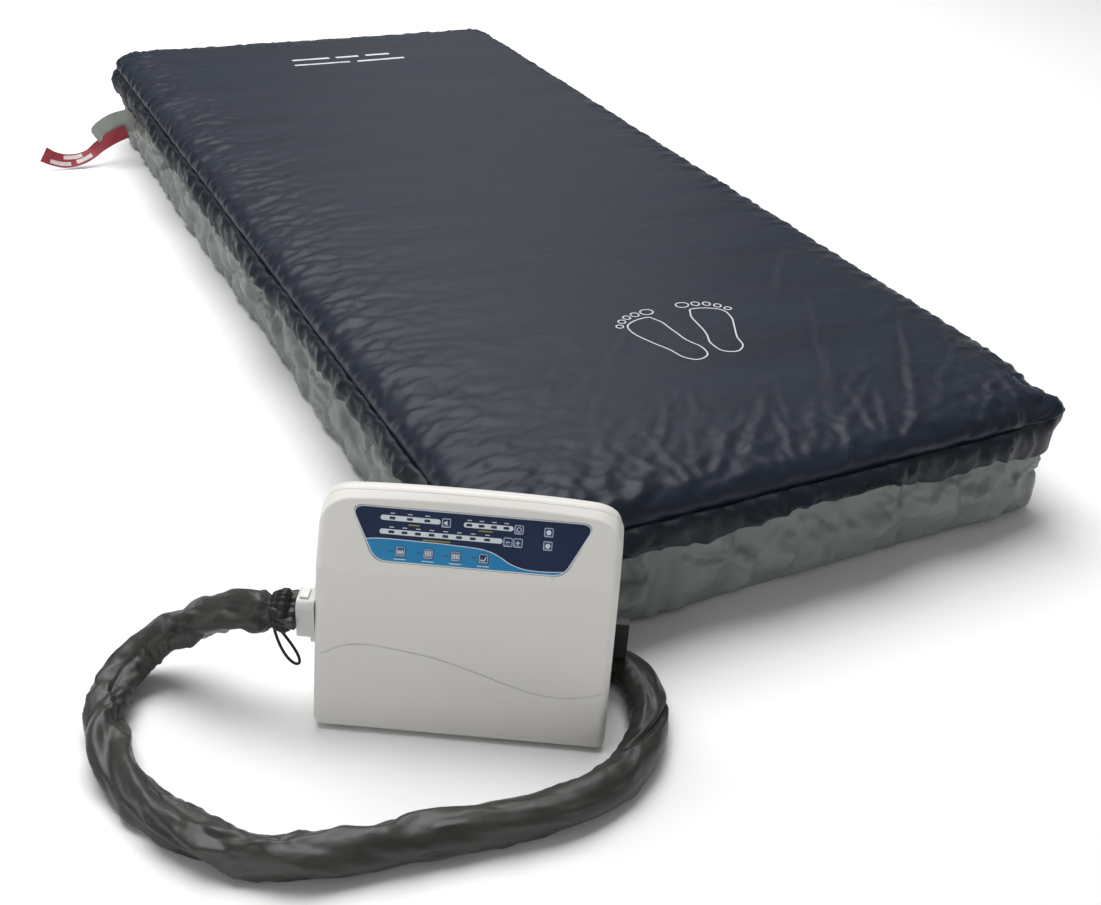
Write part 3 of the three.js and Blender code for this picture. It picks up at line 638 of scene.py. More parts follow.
def make_top_cover():
    edge = CREST_S[-1]
    flat_x, flat_y = HALF_X - CREST[-1][0] + edge, HALF_Y - CREST[-1][0] + edge
    across, along = np.linspace(-1, 1, 170), np.linspace(-1, 1, 372)
    a, b = np.meshgrid(across * flat_x, along * flat_y, indexing="ij")
    from_side, from_end = flat_x - np.abs(a), flat_y - np.abs(b)
    depth = np.minimum(from_side, from_end)
    inset = np.interp(depth, CREST_S, CREST_IN) + np.clip(depth - edge, 0, None)
    z = np.interp(depth, CREST_S, CREST_Z)
    ring_x, ring_y = np.maximum(flat_x - depth, 1e-6), np.maximum(flat_y - depth, 1e-6)
    corner = np.clip(CORNER - 0.6 * inset, 0.0005, None)
    x, y = outline_point(a / ring_x, b / ring_y, HALF_X - inset, HALF_Y - inset, corner)
    sag = np.exp(-((x - HALF_X) ** 2 + (y + HALF_Y) ** 2) / 0.09**2)
    past_cells = np.maximum(np.clip((x - 0.395) / 0.035, 0, 1), np.clip((-0.985 - y) / 0.02, 0, 1))
    sag *= past_cells * np.clip(depth / 0.02, 0, 1)
    z = z + 0.0016 * np.exp(-((depth - edge) / 0.4) ** 2) - 0.014 * sag
    lift = top_relief(a, b, depth)
    steep = np.clip(np.interp(depth, CREST_S, np.gradient(CREST_Z, CREST_S)), 0, 1)
    steep[depth > edge] = 0
    out_x = np.where(from_side <= from_end, np.sign(a), 0)
    out_y = np.where(from_side > from_end, np.sign(b), 0)
    upward = np.sqrt(1 - 0.8 * steep**2)
    p = np.stack([x + out_x * lift * steep, y + out_y * lift * steep, z + lift * upward], -1)
    p += ear_push(p[..., 0], p[..., 1], p[..., 2])
    beyond = np.clip(p[..., 0] - CELL_STRAIGHT, 0, CELL_RADIUS)
    cells = np.where(p[..., 1] > CELLS_FROM, CELL_AXIS + np.sqrt(CELL_RADIUS**2 - beyond**2), 0)
    cells = np.minimum(cells, z + 0.014 * sag - 0.001)
    p[..., 2] = np.maximum(p[..., 2], np.where(depth > 0.022, cells, 0))
    index = np.arange(p.shape[0] * p.shape[1]).reshape(p.shape[:2])
    cover = mesh_object("top_cover_cloth", p.reshape(-1, 3), grid_faces(index), NAVY)
    if cover.data.polygons[len(cover.data.polygons) // 2].normal.z < 0:
        cover.data.flip_normals()
    shell = cover.modifiers.new("cloth", "SOLIDIFY")
    shell.thickness, shell.offset = 0.0012, -1
    apply_modifiers(cover)
    place(cover, "mattress", "cover_navy", "top_cover")
    return cover


def seam_puckers(draw, reach_x, reach_y):
    """Short folds that run in from the seam, all round."""
    folds = []
    for side in (-1, 1):
        at = -reach_y
        while at < reach_y:
            at += draw.uniform(0.014, 0.042)
            long = draw.uniform(0.035, 0.13)
            end = at + side * -draw.uniform(-0.2, 0.75) * long * side
            wide, high = draw.uniform(0.0035, 0.0075), draw.uniform(0.0008, 0.0030)
            folds.append((side * reach_x, at, side * (reach_x - long), end, wide, high))
        at = -reach_x
        while at < reach_x:
            at += draw.uniform(0.016, 0.048)
            long, lean = draw.uniform(0.04, 0.15), draw.uniform(-0.6, 0.6)
            wide, high = draw.uniform(0.004, 0.008), draw.uniform(0.001, 0.0036)
            folds.append((at, side * reach_y, at + lean * long, side * (reach_y - long), wide, high))
    return folds


def loose_folds(draw):
    """Slanting folds near the foot, then long shallow ones across the whole cover."""
    folds = []
    for _ in range(46):
        u0, v0 = draw.uniform(-0.36, 0.40), -1.0 + abs(draw.normal(0, 0.16))
        turn, long = draw.uniform(0.25, 1.1), draw.uniform(0.06, 0.2)
        folds.append(fold_from(u0, v0, turn, long, draw.uniform(0.004, 0.009), draw.uniform(0.0006, 0.0022)))
    for _ in range(70):
        u0, v0 = draw.uniform(-0.42, 0.2), draw.uniform(-1.0, 0.98)
        turn, long = draw.uniform(-0.22, 0.12), draw.uniform(0.1, 0.36)
        folds.append(fold_from(u0, v0, turn, long, draw.uniform(0.004, 0.010), draw.uniform(0.0003, 0.0010)))
    return folds


FOOT_FANS = ((-0.30, 0.7), (-0.16, 1.0), (-0.02, 0.8), (0.12, 1.0), (0.25, 0.8), (0.37, 1.0))
CORNER_FAN = (
    (2.2, 0.20, 0.0045), (2.55, 0.16, 0.0040), (1.85, 0.17, 0.0042), (2.9, 0.13, 0.0034),
    (2.36, 0.30, 0.0026)
)
LONG_FOLDS = [
    (0.16, -1.03, 0.40, -0.70, 0.007, 0.0042), (0.02, -1.03, 0.22, -0.86, 0.008, 0.0036),
    (-0.10, -1.00, 0.03, -0.86, 0.009, 0.0050), (-0.17, -0.98, -0.02, -0.90, 0.008, 0.0040),
    (0.24, -0.97, 0.44, -0.80, 0.006, 0.0028), (0.30, -1.00, 0.45, -0.90, 0.006, 0.0030),
    (0.08, -0.96, 0.30, -0.60, 0.008, 0.0016), (0.34, -0.92, 0.46, -0.72, 0.007, 0.0022),
    (-0.28, -1.02, -0.10, -0.84, 0.008, 0.0026),
]


def foot_folds(draw, seam_y):
    """Fans of folds that spread from the foot seam and from the pinched corner."""
    folds = []
    for centre, strength in FOOT_FANS:
        for k in range(5):
            turn = math.pi / 2 - 0.95 + 0.36 * k + draw.uniform(-0.14, 0.14)
            long = draw.uniform(0.05, 0.17)
            start = centre + 0.012 * (2 - k) + draw.uniform(-0.008, 0.008)
            wide, high = draw.uniform(0.0050, 0.0095), strength * draw.uniform(0.0014, 0.0042)
            folds.append(fold_from(start, seam_y, turn, long, wide, high))
    folds += [fold_from(0.455, -1.02, turn, long, 0.0060, high) for turn, long, high in CORNER_FAN]
    return folds + LONG_FOLDS


def top_relief(a, b, depth):
    """Height of the top cover's ripples, puckers and folds, in metres."""
    draw = np.random.default_rng(11)
    lift = 0.0011 * fractal(a / 0.34, b / 0.045, 20) + 0.0006 * ridged(a / 0.22, b / 0.022, 24, 2)
    over_cells = np.cos(2 * math.pi * b / CELL_PITCH) * np.clip(depth / 0.1, 0, 1)
    lift += 0.0024 * noise(a / 0.5, b / 0.26, 28) + 0.0009 * over_cells
    lift += 0.0010 * fractal(a / 0.11 + b / 0.3, b / 0.07, 31)
    reach_x, reach_y = HALF_X + 0.02, HALF_Y + 0.02
    folds = seam_puckers(draw, reach_x, reach_y) + loose_folds(draw)
    fans = foot_folds(draw, -reach_y + 0.012)

    def waved(along, seed):
        wide_waves = along + 0.007 * noise(a / 0.05, b / 0.05, seed)
        return wide_waves + 0.0022 * noise(a / 0.013, b / 0.013, seed + 1)

    wavy_a, wavy_b = waved(a, 71), waved(b, 73)
    lift += creases(wavy_a, wavy_b, folds)
    lift = lift * 0.5 + 0.62 * creases(wavy_a, wavy_b, fans)
    near_edge = np.exp(-(((a - a.min()) / 0.17) ** 2)) + 0.5 * np.exp(-(((a.max() - a) / 0.09) ** 2))
    near_edge = near_edge + 0.6 * np.exp(-(((b.max() - b) / 0.08) ** 2))
    near_edge = near_edge + 0.55 * np.exp(-(((b - b.min()) / 0.12) ** 2))
    lift += simulated_relief(a, b) * np.clip(0.16 + near_edge, 0, 1)
    return lift * np.clip(depth / 0.012, 0.25, 1)


def simulated_relief(a, b):
    """The top cover's wrinkles, simulated on a narrower sheet and drawn out across the mattress."""
    wide, long, squeeze = 2 * float(a.max()), 2 * float(b.max()), 0.46

    def looseness(u, v):
        left, right = u / squeeze, (wide * squeeze - u) / squeeze
        share = 0.0025 + 0.034 * np.exp(-((left / 0.13) ** 2)) + 0.024 * np.exp(-((right / 0.08) ** 2))
        return share + 0.028 * np.exp(-((v / 0.14) ** 2)) + 0.014 * np.exp(-(((long - v) / 0.08) ** 2))

    grid = buckled(wide * squeeze, long, 0.0066, looseness, 0.15, 31)
    grid = 0.0045 * np.tanh(grid / 0.0045)
    return 1.5 * sampled(grid, wide, long, a + wide / 2, b + long / 2)


LOOP = 4 * (HALF_X + HALF_Y) - (8 - 2 * math.pi) * CORNER


def perimeter(half_x, half_y, corner, count):
    """Points, normals and distances around a rounded rectangle, anticlockwise from the foot's middle."""
    pieces = []
    quarter = 24
    for right, up, start in ((1, -1, -90), (1, 1, 0), (-1, 1, 90), (-1, -1, 180)):
        centre_x, centre_y = right * (half_x - corner), up * (half_y - corner)
        for k in range(quarter + 1):
            turn = math.radians(start + 90 * k / quarter)
            out_x, out_y = math.cos(turn), math.sin(turn)
            pieces.append((centre_x + corner * out_x, centre_y + corner * out_y, out_x, out_y))
    ring = np.array([(0, -half_y, 0, -1), *pieces, (0, -half_y, 0, -1)], float)
    far = np.concatenate([[0], np.cumsum(np.linalg.norm(np.diff(ring[:, :2], axis=0), axis=1))])
    at = np.linspace(0, far[-1], count, endpoint=False)
    values = [np.interp(at, far, ring[:, k]) for k in range(4)]
    size = np.hypot(values[2], values[3])
    return np.stack(values[:2], 1), np.stack([values[2] / size, values[3] / size], 1), at * LOOP / far[-1]


def wrap_noise(s, spacing, seed, v=0.0):
    """Noise along the perimeter that meets itself at the join."""
    angle = 2 * math.pi * s / LOOP
    radius = round(LOOP / spacing) / (2 * math.pi)
    return noise(radius * np.cos(angle) + 40 + v * 0.7, radius * np.sin(angle) + 40 + v, seed)


def rumples(width, step, looseness, spring, seed, held, limit):
    return limit * np.tanh(buckled_band(width, LOOP, step, looseness, spring, seed, held) / limit)


FLAP_LENGTH = 0.060


def ramp(share):
    return min(1, max(0, share))


def bump_at(s, places):
    """A smooth swelling along the perimeter: (where, how wide, how much) each."""
    away = np.zeros_like(s)
    for at, wide, much in places:
        gap = (s - at + LOOP / 2) % LOOP - LOOP / 2
        away += much * np.exp(-((gap / wide) ** 2))
    return away


def foot_s(x):
    """The place along the perimeter under a point x of the foot end."""
    return x if x >= 0 else LOOP + x


GAPS = [  # where the flap stands off the base cover: place along the perimeter, width, how much
    (foot_s(-0.06), 0.11, 1.0), (foot_s(0.10), 0.06, 1.0), (foot_s(-0.26), 0.06, 0.6),
    (foot_s(0.30), 0.05, 0.6),
    (5.42, 0.09, 0.7), (5.15, 0.06, 0.9), (4.86, 0.08, 0.6), (4.50, 0.07, 0.9), (4.12, 0.09, 0.6),
    (3.82, 0.06, 0.8),
    (0.85, 0.08, 0.6), (1.5, 0.10, 0.7), (2.1, 0.08, 0.5), (3.0, 0.12, 0.6),
]


def flap_looseness(u, v):
    return 0.045 + 0.03 * np.exp(-((u / 0.02) ** 2))


def base_looseness(u, v):
    return 0.035 + 0.02 * noise(v / 0.21, u / 0.2, 61)


def make_flap():
    count = 1160
    ring, normal, s = perimeter(HALF_X, HALF_Y, CORNER, count)
    section = [  # outward from the wall, height, how far the hem's wave moves it
        (0.0002, 0.1640, 0), (0.0036, 0.1678, 0), (0.0078, 0.1682, 0), (0.0116, 0.1655, 0.01),
        (0.0142, 0.1606, 0.03), (0.0157, 0.1550, 0.08), (0.0160, 0.1490, 0.17), (0.0160, 0.1430, 0.30),
        (0.0153, 0.1370, 0.48), (0.0142, 0.1310, 0.70), (0.0128, 0.1255, 0.9), (0.0112, 0.1210, 1),
        (0.0094, 0.1196, 1), (0.0080, 0.1212, 1), (0.0080, 0.1280, 0.8), (0.0080, 0.1350, 0.55),
        (0.0078, 0.1420, 0.32), (0.0074, 0.1490, 0.15), (0.0048, 0.1560, 0.06), (0.0010, 0.1630, 0),
    ]
    last_outer = 12
    gap = bump_at(s, GAPS)
    wave = 0.007 * wrap_noise(s, 0.26, 41) + 0.0055 * wrap_noise(s, 0.085, 42)
    wave += 0.0025 * wrap_noise(s, 0.03, 47)
    wave = np.clip(wave + 0.025 * gap, -0.006, 0.033)
    corner = bump_at(s, [(HALF_X - CORNER + CORNER * math.pi / 4, 0.065, 0.0075)])
    gather = 0.0012 * wrap_noise(s, 0.022, 44) + 0.0020 * wrap_noise(s, 0.06, 45)
    folds = []
    draw = np.random.default_rng(12)
    at = 0.0
    while at < LOOP:
        at += draw.uniform(0.014, 0.05)
        top, low = draw.uniform(0.158, 0.168), draw.uniform(0.118, 0.145)
        end = at + draw.uniform(-0.03, 0.03)
        wide, high = draw.uniform(0.0025, 0.0055), -draw.uniform(0.001, 0.0038)
        folds.append((at, top, end, low, wide, high))
    rumpled = rumples(FLAP_LENGTH, 0.006, flap_looseness, 0.10, 32, (1, 0, 1, 1), 0.005)
    verts = np.zeros((len(section), count, 3))
    for row, (out, height, moved) in enumerate(section):
        outer = 1.0 if row <= last_outer else 0.0
        z = height + moved * wave + (0.0012 * wrap_noise(s, 0.035, 48) if 0 < row < 4 else 0)
        down = min(1, row / last_outer)
        share = math.sin(math.pi * min(1, 0.12 + 0.88 * down)) ** 0.7
        bulge = outer * share * (gather + creases(s, np.full_like(s, height), folds))
        if rumpled is not None and outer:
            grown = sampled(rumpled, FLAP_LENGTH, LOOP, np.full_like(s, down * FLAP_LENGTH), s)
            bulge = bulge + 1.35 * min(1, down * 5) * grown
        fine = 0.0010 * ridged(s / 0.03, np.full_like(s, height / 0.02), 46)
        bulge = bulge + outer * (fine + 0.0190 * gap * down)
        reach = out + bulge + (0.0 if down < 0.2 or not outer else 0.0014) - outer * corner * min(1, down * 4)
        if outer:
            least = np.interp(height, [0.12, 0.15, 0.163, 0.1682], [0.0096, 0.0096, 0.0062, 0.0030])
            reach = np.minimum(np.maximum(reach, least), 0.0360)
        else:
            reach = reach + 0.016 * gap * min(1, (0.163 - height) / 0.03)
        verts[row] = np.concatenate([ring + normal * reach[:, None], z[:, None]], 1)
    flat = verts.reshape(-1, 3)
    flat += ear_push(flat[:, 0], flat[:, 1], flat[:, 2]) * 0.9
    # The flap wears the navy with painted shade.
    flap = mesh_object("zip_flap_cloth", flat, loop_faces(len(section), count, True), NAVY_PAINTED_SHADE)
    place(flap, "mattress", "cover_navy", "zip_flap")
    return flap


def make_base_cover():
    count = 1100
    ring, normal, s = perimeter(HALF_X, HALF_Y, CORNER + 0.004, count)
    tall, rows, wall = 0.1570, 40, 0.16
    gap = bump_at(s, GAPS)
    rumpled = rumples(wall, 0.007, base_looseness, 0.055, 33, (1, 1, 1, 1), 0.0075)
    folds = []
    draw = np.random.default_rng(13)
    for _ in range(230):
        at, low = draw.uniform(0, LOOP), draw.uniform(0.0, 0.14)
        lean, long = draw.uniform(-1.2, 1.2), draw.uniform(0.03, 0.10)
        wide, high = draw.uniform(0.0026, 0.0050), draw.uniform(0.0016, 0.0042)
        folds.append(fold_from(at, low, lean, long, wide, high))
    outer = []
    for row in range(rows):
        t = row / (rows - 1)
        z = 0.0006 + tall * t
        tuck = -0.012 * (1 - min(1, z / 0.018)) ** 2 - 0.002
        bulging = 0.0055 * math.sin(math.pi * min(1, z / 0.135))
        belly = bulging * (0.55 + 0.8 * wrap_noise(s, 0.30, 51, t * 0.5))
        free = ramp((0.145 - z) / 0.03) * min(1, 0.25 + z / 0.02)
        if rumpled is None:
            crumple = 0.0042 * (ridged(s / 0.075 + 0.4 * z / 0.05, np.full_like(s, z / 0.062), 52, 4) - 0.25)
        else:
            crumple = 1.7 * sampled(rumpled, wall, LOOP, np.full_like(s, z), s)
        slanted = ridged(s / 0.13 + z / 0.07, np.full_like(s, z / 0.10) - s / 0.26, 57, 2)
        crumple = crumple + 0.0034 * (slanted - 0.2)
        crumple = crumple + creases(s, np.full_like(s, z), folds)
        hidden = -0.0035 * ramp((z - 0.112) / 0.02) - 0.0110 * gap * ramp((z - 0.055) / 0.02)
        reach = tuck + hidden + (belly + crumple + 0.0036 * wrap_noise(s, 0.16, 55)) * free
        reach = np.clip(reach, -0.0138, 0.0125)
        foot_edge = 0.0035 * np.clip(wrap_noise(s, 0.22, 58), 0, 1) * (1 - min(1, z / 0.03))
        outer.append(np.concatenate([ring + normal * reach[:, None], (z + foot_edge)[:, None]], 1))
    inner = [
        np.concatenate([ring - normal * inset, np.full((count, 1), z)], 1)
        for inset, z in ((0.0148, 0.1576), (0.0162, 0.14), (0.0162, 0.004))
    ]
    verts = np.concatenate([*outer, *inner])
    faces = loop_faces(rows + 3, count) + end_caps(rows + 3, count)
    base = mesh_object("base_cover_cloth", verts, faces, GREY)
    place(base, "mattress", "cover_grey", "base_cover")
    return base


top_cover = make_top_cover()
flap = make_flap()
make_base_cover()

# ---------------------------------------------------------------- control unit
HALF_WIDTH = 0.167
DEPTH, LOW, TOP = 0.110, 0.004, 0.277
CREASE_AT = (0.041, 0.200)
PANEL_EDGE = (0.083, 0.270)
SPLIT = 0.092
PANEL_UP = Vector((0, PANEL_EDGE[0] - CREASE_AT[0], PANEL_EDGE[1] - CREASE_AT[1])).normalized()
PANEL_OUT = Vector((1, 0, 0)).cross(PANEL_UP)
PANEL = UNIT @ Matrix((
    (1, PANEL_UP.x, PANEL_OUT.x, 0),
    (0, PANEL_UP.y, PANEL_OUT.y, CREASE_AT[0]),
    (0, PANEL_UP.z, PANEL_OUT.z, CREASE_AT[1]),
    (0, 0, 0, 1),
))


def fillet(corners, radii, steps=7):
    """A closed polygon with every corner rounded."""
    made = []
    count = len(corners)
    for i, (corner, radius) in enumerate(zip(corners, radii)):
        before = (corners[i - 1] - corner).normalized()
        after = (corners[(i + 1) % count] - corner).normalized()
        half = math.acos(max(-1, min(1, before.dot(after)))) / 2
        reach = radius / math.tan(half)
        centre = corner + (before + after).normalized() * (radius / math.sin(half))
        start, stop = corner + before * reach - centre, corner + after * reach - centre
        for k in range(steps + 1):
            t = k / steps
            turn = math.pi - 2 * half
            a = math.sin((1 - t) * turn) / math.sin(turn)
            b = math.sin(t * turn) / math.sin(turn)
            made.append(centre + start * a + stop * b)
    return made


def inset_polygon(points, distance):
    """An anticlockwise polygon with each edge moved inwards."""
    made = []
    for i, point in enumerate(points):
        before = (point - points[i - 1]).normalized()
        after = (points[(i + 1) % len(points)] - point).normalized()
        left_before, left_after = Vector((-before.y, before.x)), Vector((-after.y, after.x))
        middle = (left_before + left_after).normalized()
        made.append(point + middle * distance / middle.dot(left_before))
    return made


def quadratic(points, steps=10):
    """Points along a run of quadratic curves: the start, then (control, end) pairs.
    A None control is a straight line."""
    made = [Vector(points[0])]
    for control, end in points[1:]:
        start, end = made[-1], Vector(end)
        if control is None:
            made.append(end)
            continue
        control = Vector(control)
        for t in np.linspace(0, 1, steps + 1)[1:]:
            made.append(start * (1 - t) ** 2 + control * 2 * t * (1 - t) + end * t * t)
    return made


ARCH = [(0, 0), ((0.092, 0), (0.137, 0.004)), ((0.167, 0.009), (0.167, 0.038))]


def arch_drop(x):
    """How far the housing's top edge has come down at a distance x from its middle."""
    curve = quadratic(ARCH, 59)
    return float(np.interp(abs(x), [p.x for p in curve], [p.y for p in curve]))


def side_profile(drop, inset):
    slope = (PANEL_EDGE[0] - CREASE_AT[0]) / (PANEL_EDGE[1] - CREASE_AT[1])
    corners = [Vector(p) for p in (
        (0.0000, LOW), (DEPTH, LOW), (DEPTH, TOP - 0.0005 - drop), (0.0965, TOP + 0.0004 - drop),
        (PANEL_EDGE[0] - slope * drop, PANEL_EDGE[1] - drop), CREASE_AT,
    )]
    radii = [0.006, 0.006, 0.0085, 0.010, 0.006, 0.010]
    return fillet(inset_polygon(corners, inset), [max(0.0015, r - 0.6 * inset) for r in radii])


def make_housing():
    edge = 0.0095
    flat = HALF_WIDTH - edge
    turned = [(edge * math.sin(a), edge * (1 - math.cos(a))) for a in np.linspace(0, math.pi / 2, 9)[1:]]
    stations = [(-flat - d, i) for d, i in reversed(turned)]
    stations += [(x, 0) for x in np.linspace(-flat, flat, 61)] + [(flat + d, i) for d, i in turned]
    verts = []
    for x, inset in stations:
        profile = side_profile(arch_drop(min(abs(x), 0.1645)), inset)
        verts += [(x, p.x, p.y) for p in profile]
    around = len(side_profile(0, 0))
    faces = loop_faces(len(stations), around) + end_caps(len(stations), around)
    return mesh_object("housing", verts, faces, SHELL)


def prism(name, outline, low, high, matrix=None, materials=None, edge=0.0):
    """An outline in a frame's plane, made solid between two heights, with its upper edge eased by edge."""
    count = len(outline)
    rows = [(low, 0), (high - edge, 0), (high - edge * 0.3, edge * 0.3), (high, edge)]
    if not edge:
        rows = [(low, 0), (high, 0)]
    ring = [Vector(p) for p in outline]
    area = sum(ring[i - 1].x * ring[i].y - ring[i].x * ring[i - 1].y for i in range(count))
    if area < 0:
        ring.reverse()
    verts = []
    for z, inset in rows:
        verts += [(p.x, p.y, z) for p in (inset_polygon(ring, inset) if inset else ring)]
    faces = loop_faces(len(rows), count) + end_caps(len(rows), count)
    made = mesh_object(name, verts, faces, materials or SHELL, bool(edge))
    if matrix is not None:
        made.data.transform(matrix)
    return made


def box_tool(low, high):
    corners = ((low[0], low[1]), (high[0], low[1]), (high[0], high[1]), (low[0], high[1]))
    return prism("tool", corners, low[2], high[2])


def rounded_box_outline(width, height, radius, at=(0, 0), steps=6):
    x, y = width / 2, height / 2
    corners = [Vector((-x, -y)), Vector((x, -y)), Vector((x, y)), Vector((-x, y))]
    return [p + Vector(at) for p in fillet(corners, [radius] * 4, steps)]


def overlay_outline(grow=0.0):
    low, top = 0.0115 - grow, 0.072 + grow
    wide, narrow, shift = 0.1295 + grow, 0.090 + grow, 0.0015
    outline = quadratic([
        (-narrow, low), (None, (narrow, low)), ((narrow + 0.014, low), (narrow + 0.020, low + 0.012)),
        (None, (wide - 0.001, top - 0.012)), ((wide + 0.0045, top), (wide - 0.012, top)),
        (None, (-wide + 0.012, top)), ((-wide - 0.0045, top), (-wide + 0.001, top - 0.012)),
        (None, (-narrow - 0.020, low + 0.012)), ((-narrow - 0.014, low), (-narrow, low)),
    ])
    return [p + Vector((shift, 0)) for p in outline[:-1]]


KEYS = {
    "key_mute": (-0.027, 0.0595), "key_timer": (0.0525, 0.059),
    "key_minus": (0.0415, 0.0445), "key_plus": (0.0525, 0.0445),
    "key_panel_lock": (0.085, 0.0587), "key_alarm_reset": (0.085, 0.044),
}
MODE_KEYS_X, MODE_KEYS_Y = (-0.0745, -0.044, -0.014, 0.0165), 0.0242
MODE_KEYS = [f"key_mode_{mode}" for mode in ("alternate", "pulsate", "static", "seat")]
KEYS |= {name: (x, MODE_KEYS_Y) for name, x in zip(MODE_KEYS, MODE_KEYS_X)}
KEY_SIZE, KEY_TOP, KEY_LOW = 0.0106, -0.0002, -0.0024
KEY_HOLE, KEY_HOLE_CORNER = 0.0112, 0.0018
RECESS, OVERLAY_TOP = 0.0018, -0.0007


def front_y(z):
    """Depth of the front face at a height."""
    return (z - LOW) * CREASE_AT[0] / (CREASE_AT[1] - LOW)


def keep_part(obj, low, high):
    """Keeps what lies between two depths, and closes the cut."""
    tiny = 1e-6
    work = bmesh.new()
    work.from_mesh(obj.data)
    for at, clear_outer in ((low, False), (high, True)):
        cut = bmesh.ops.bisect_plane(
            work, geom=work.verts[:] + work.edges[:] + work.faces[:], dist=tiny,
            plane_co=(0, at, 0), plane_no=(0, 1, 0), clear_outer=clear_outer, clear_inner=not clear_outer,
        )
        edges = [e for e in cut["geom_cut"] if isinstance(e, bmesh.types.BMEdge)]
        if edges:
            bmesh.ops.contextual_create(work, geom=edges)
    bmesh.ops.remove_doubles(work, verts=work.verts, dist=tiny)
    bmesh.ops.dissolve_degenerate(work, dist=tiny, edges=work.edges)
    bmesh.ops.holes_fill(work, edges=[e for e in work.edges if e.is_boundary])
    bmesh.ops.recalc_face_normals(work, faces=work.faces)
    work.to_mesh(obj.data)
    work.free()


def cut_key_holes(obj, names, low, matrix):
    for name in names:
        hole = rounded_box_outline(KEY_HOLE, KEY_HOLE, KEY_HOLE_CORNER, KEYS[name])
        boolean(obj, prism("tool", hole, low, 0.01, matrix))


GROOVE = [
    (-0.170, 0.0925), (-0.1535, 0.0987), (-0.1425, 0.1050), (-0.126, 0.1105), (-0.109, 0.1120),
    (-0.087, 0.1107),
    (-0.059, 0.1070), (-0.031, 0.1025), (-0.003, 0.0950), (0.026, 0.0860), (0.0486, 0.0783), (0.077, 0.0705),
    (0.0997, 0.0672), (0.122, 0.0675), (0.1467, 0.0725), (0.170, 0.0800),
]
SCREWS = ((-0.145, 0.232), (0.145, 0.232), (-0.118, 0.020), (0.118, 0.020))
UPRIGHT = Matrix(((1, 0, 0, 0), (0, 0, 1, 0), (0, 1, 0, 0), (0, 0, 0, 1)))


def make_housings():
    """The two shells, split at the seam, with the panel's recess, the wave groove and the openings cut in."""
    local_panel = UNIT.inverted() @ PANEL
    housing = make_housing()
    boolean(housing, prism("tool", overlay_outline(0.0003), -RECESS, 0.01, local_panel))
    wave = catmull_rom(np.array([(x, z, 0) for x, z in GROOVE]), 6)
    boolean(housing, tube("tool", [(x, front_y(z) - 0.0002, z) for x, z, _ in wave], 0.0014, SHELL, 10))
    front, rear = housing, bpy.data.objects.new("rear_housing_shell", housing.data.copy())
    front.name = "front_housing_shell"
    scene.collection.objects.link(rear)
    keep_part(front, -0.02, SPLIT - 0.0002)
    keep_part(rear, SPLIT + 0.0002, 0.2)
    cut_key_holes(front, KEYS, -0.0032, local_panel)
    for x, z, width, height in ((-0.020, 0.052, 0.0152, 0.026), (-0.078, 0.170, 0.042, 0.030)):
        low, high = (
            x - width / 2, DEPTH - 0.012, z - height / 2
        ), (x + width / 2, DEPTH + 0.01, z + height / 2)
        boolean(rear, box_tool(low, high))
    for row in range(7):
        z = 0.120 + row * 0.0095
        boolean(rear, box_tool((0.045, DEPTH - 0.004, z - 0.0014), (0.105, DEPTH + 0.01, z + 0.0014)))
    for x, z in SCREWS:
        boolean(rear, prism("tool", circle(0.005, 24, x, z), DEPTH - 0.005, DEPTH + 0.01, UPRIGHT))
    for part, node in ((front, "front_housing"), (rear, "rear_housing")):
        smooth_by_angle(part, 28)
        part.data.transform(UNIT)
        place(part, "mattress", "shell_plastic", node)


def make_hook_lugs():
    lug_corners = [Vector(p) for p in ((-0.009, 0.109), (0.009, 0.109), (0.009, 0.125), (-0.009, 0.125))]
    outline = fillet(lug_corners, [0.0004, 0.0004, 0.0075, 0.0075], 8)
    for side, x in (("left", -0.134), ("right", 0.134)):
        for tag, low in (("upper", 0.0983), ("lower", 0.0407)):
            moved = [p + Vector((x, 0)) for p in outline]
            lug = prism(f"hook_lug_{side}_{tag}", moved, low, low + 0.006, UNIT, SHELL, 0.0008)
            smooth_by_angle(lug, 40)
            place(lug, "mattress", "shell_plastic")


def make_screws():
    for k, (x, z) in enumerate(SCREWS):
        head = circle(0.0036, 20, x, z)
        screw = prism(f"rear_screw_{k + 1}", head, DEPTH - 0.0049, DEPTH - 0.0025, None, METAL, 0.0006)
        screw.data.transform(UNIT @ UPRIGHT)
        for wide, high in ((0.0005, 0.0026), (0.0026, 0.0005)):
            slot = box_tool((x - wide, DEPTH - 0.0035, z - high), (x + wide, DEPTH, z + high))
            slot.data.transform(UNIT)
            boolean(screw, slot)
        smooth_by_angle(screw, 40)
        place(screw, "mattress", "metal")


def joined(name, objects, body, slot, *replaced):
    """Several meshes as one piece."""
    work = bmesh.new()
    slots = []
    for obj in objects:
        first = len(work.faces)
        work.from_mesh(obj.data)
        work.faces.ensure_lookup_table()
        for face in work.faces[first:]:
            used = obj.data.materials[face.material_index]
            if used not in slots:
                slots.append(used)
            face.material_index = slots.index(used)
        bpy.data.objects.remove(obj)
    mesh = bpy.data.meshes.new(name)
    work.to_mesh(mesh)
    work.free()
    for used in slots:
        mesh.materials.append(used)
    made = bpy.data.objects.new(name, mesh)
    scene.collection.objects.link(made)
    return place(made, body, slot, *replaced)


def ribbon_outline(points, width, closed=False):
    """The outline of a flat line of a given width."""
    line = [Vector(p) for p in points]
    left, right = [], []
    for i, p in enumerate(line):
        before = line[i - 1] if i or closed else p
        after = line[(i + 1) % len(line)] if i + 1 < len(line) or closed else p
        along = (after - before).normalized()
        across = Vector((-along.y, along.x)) * width / 2
        left.append(p + across)
        right.append(p - across)
    return left, right


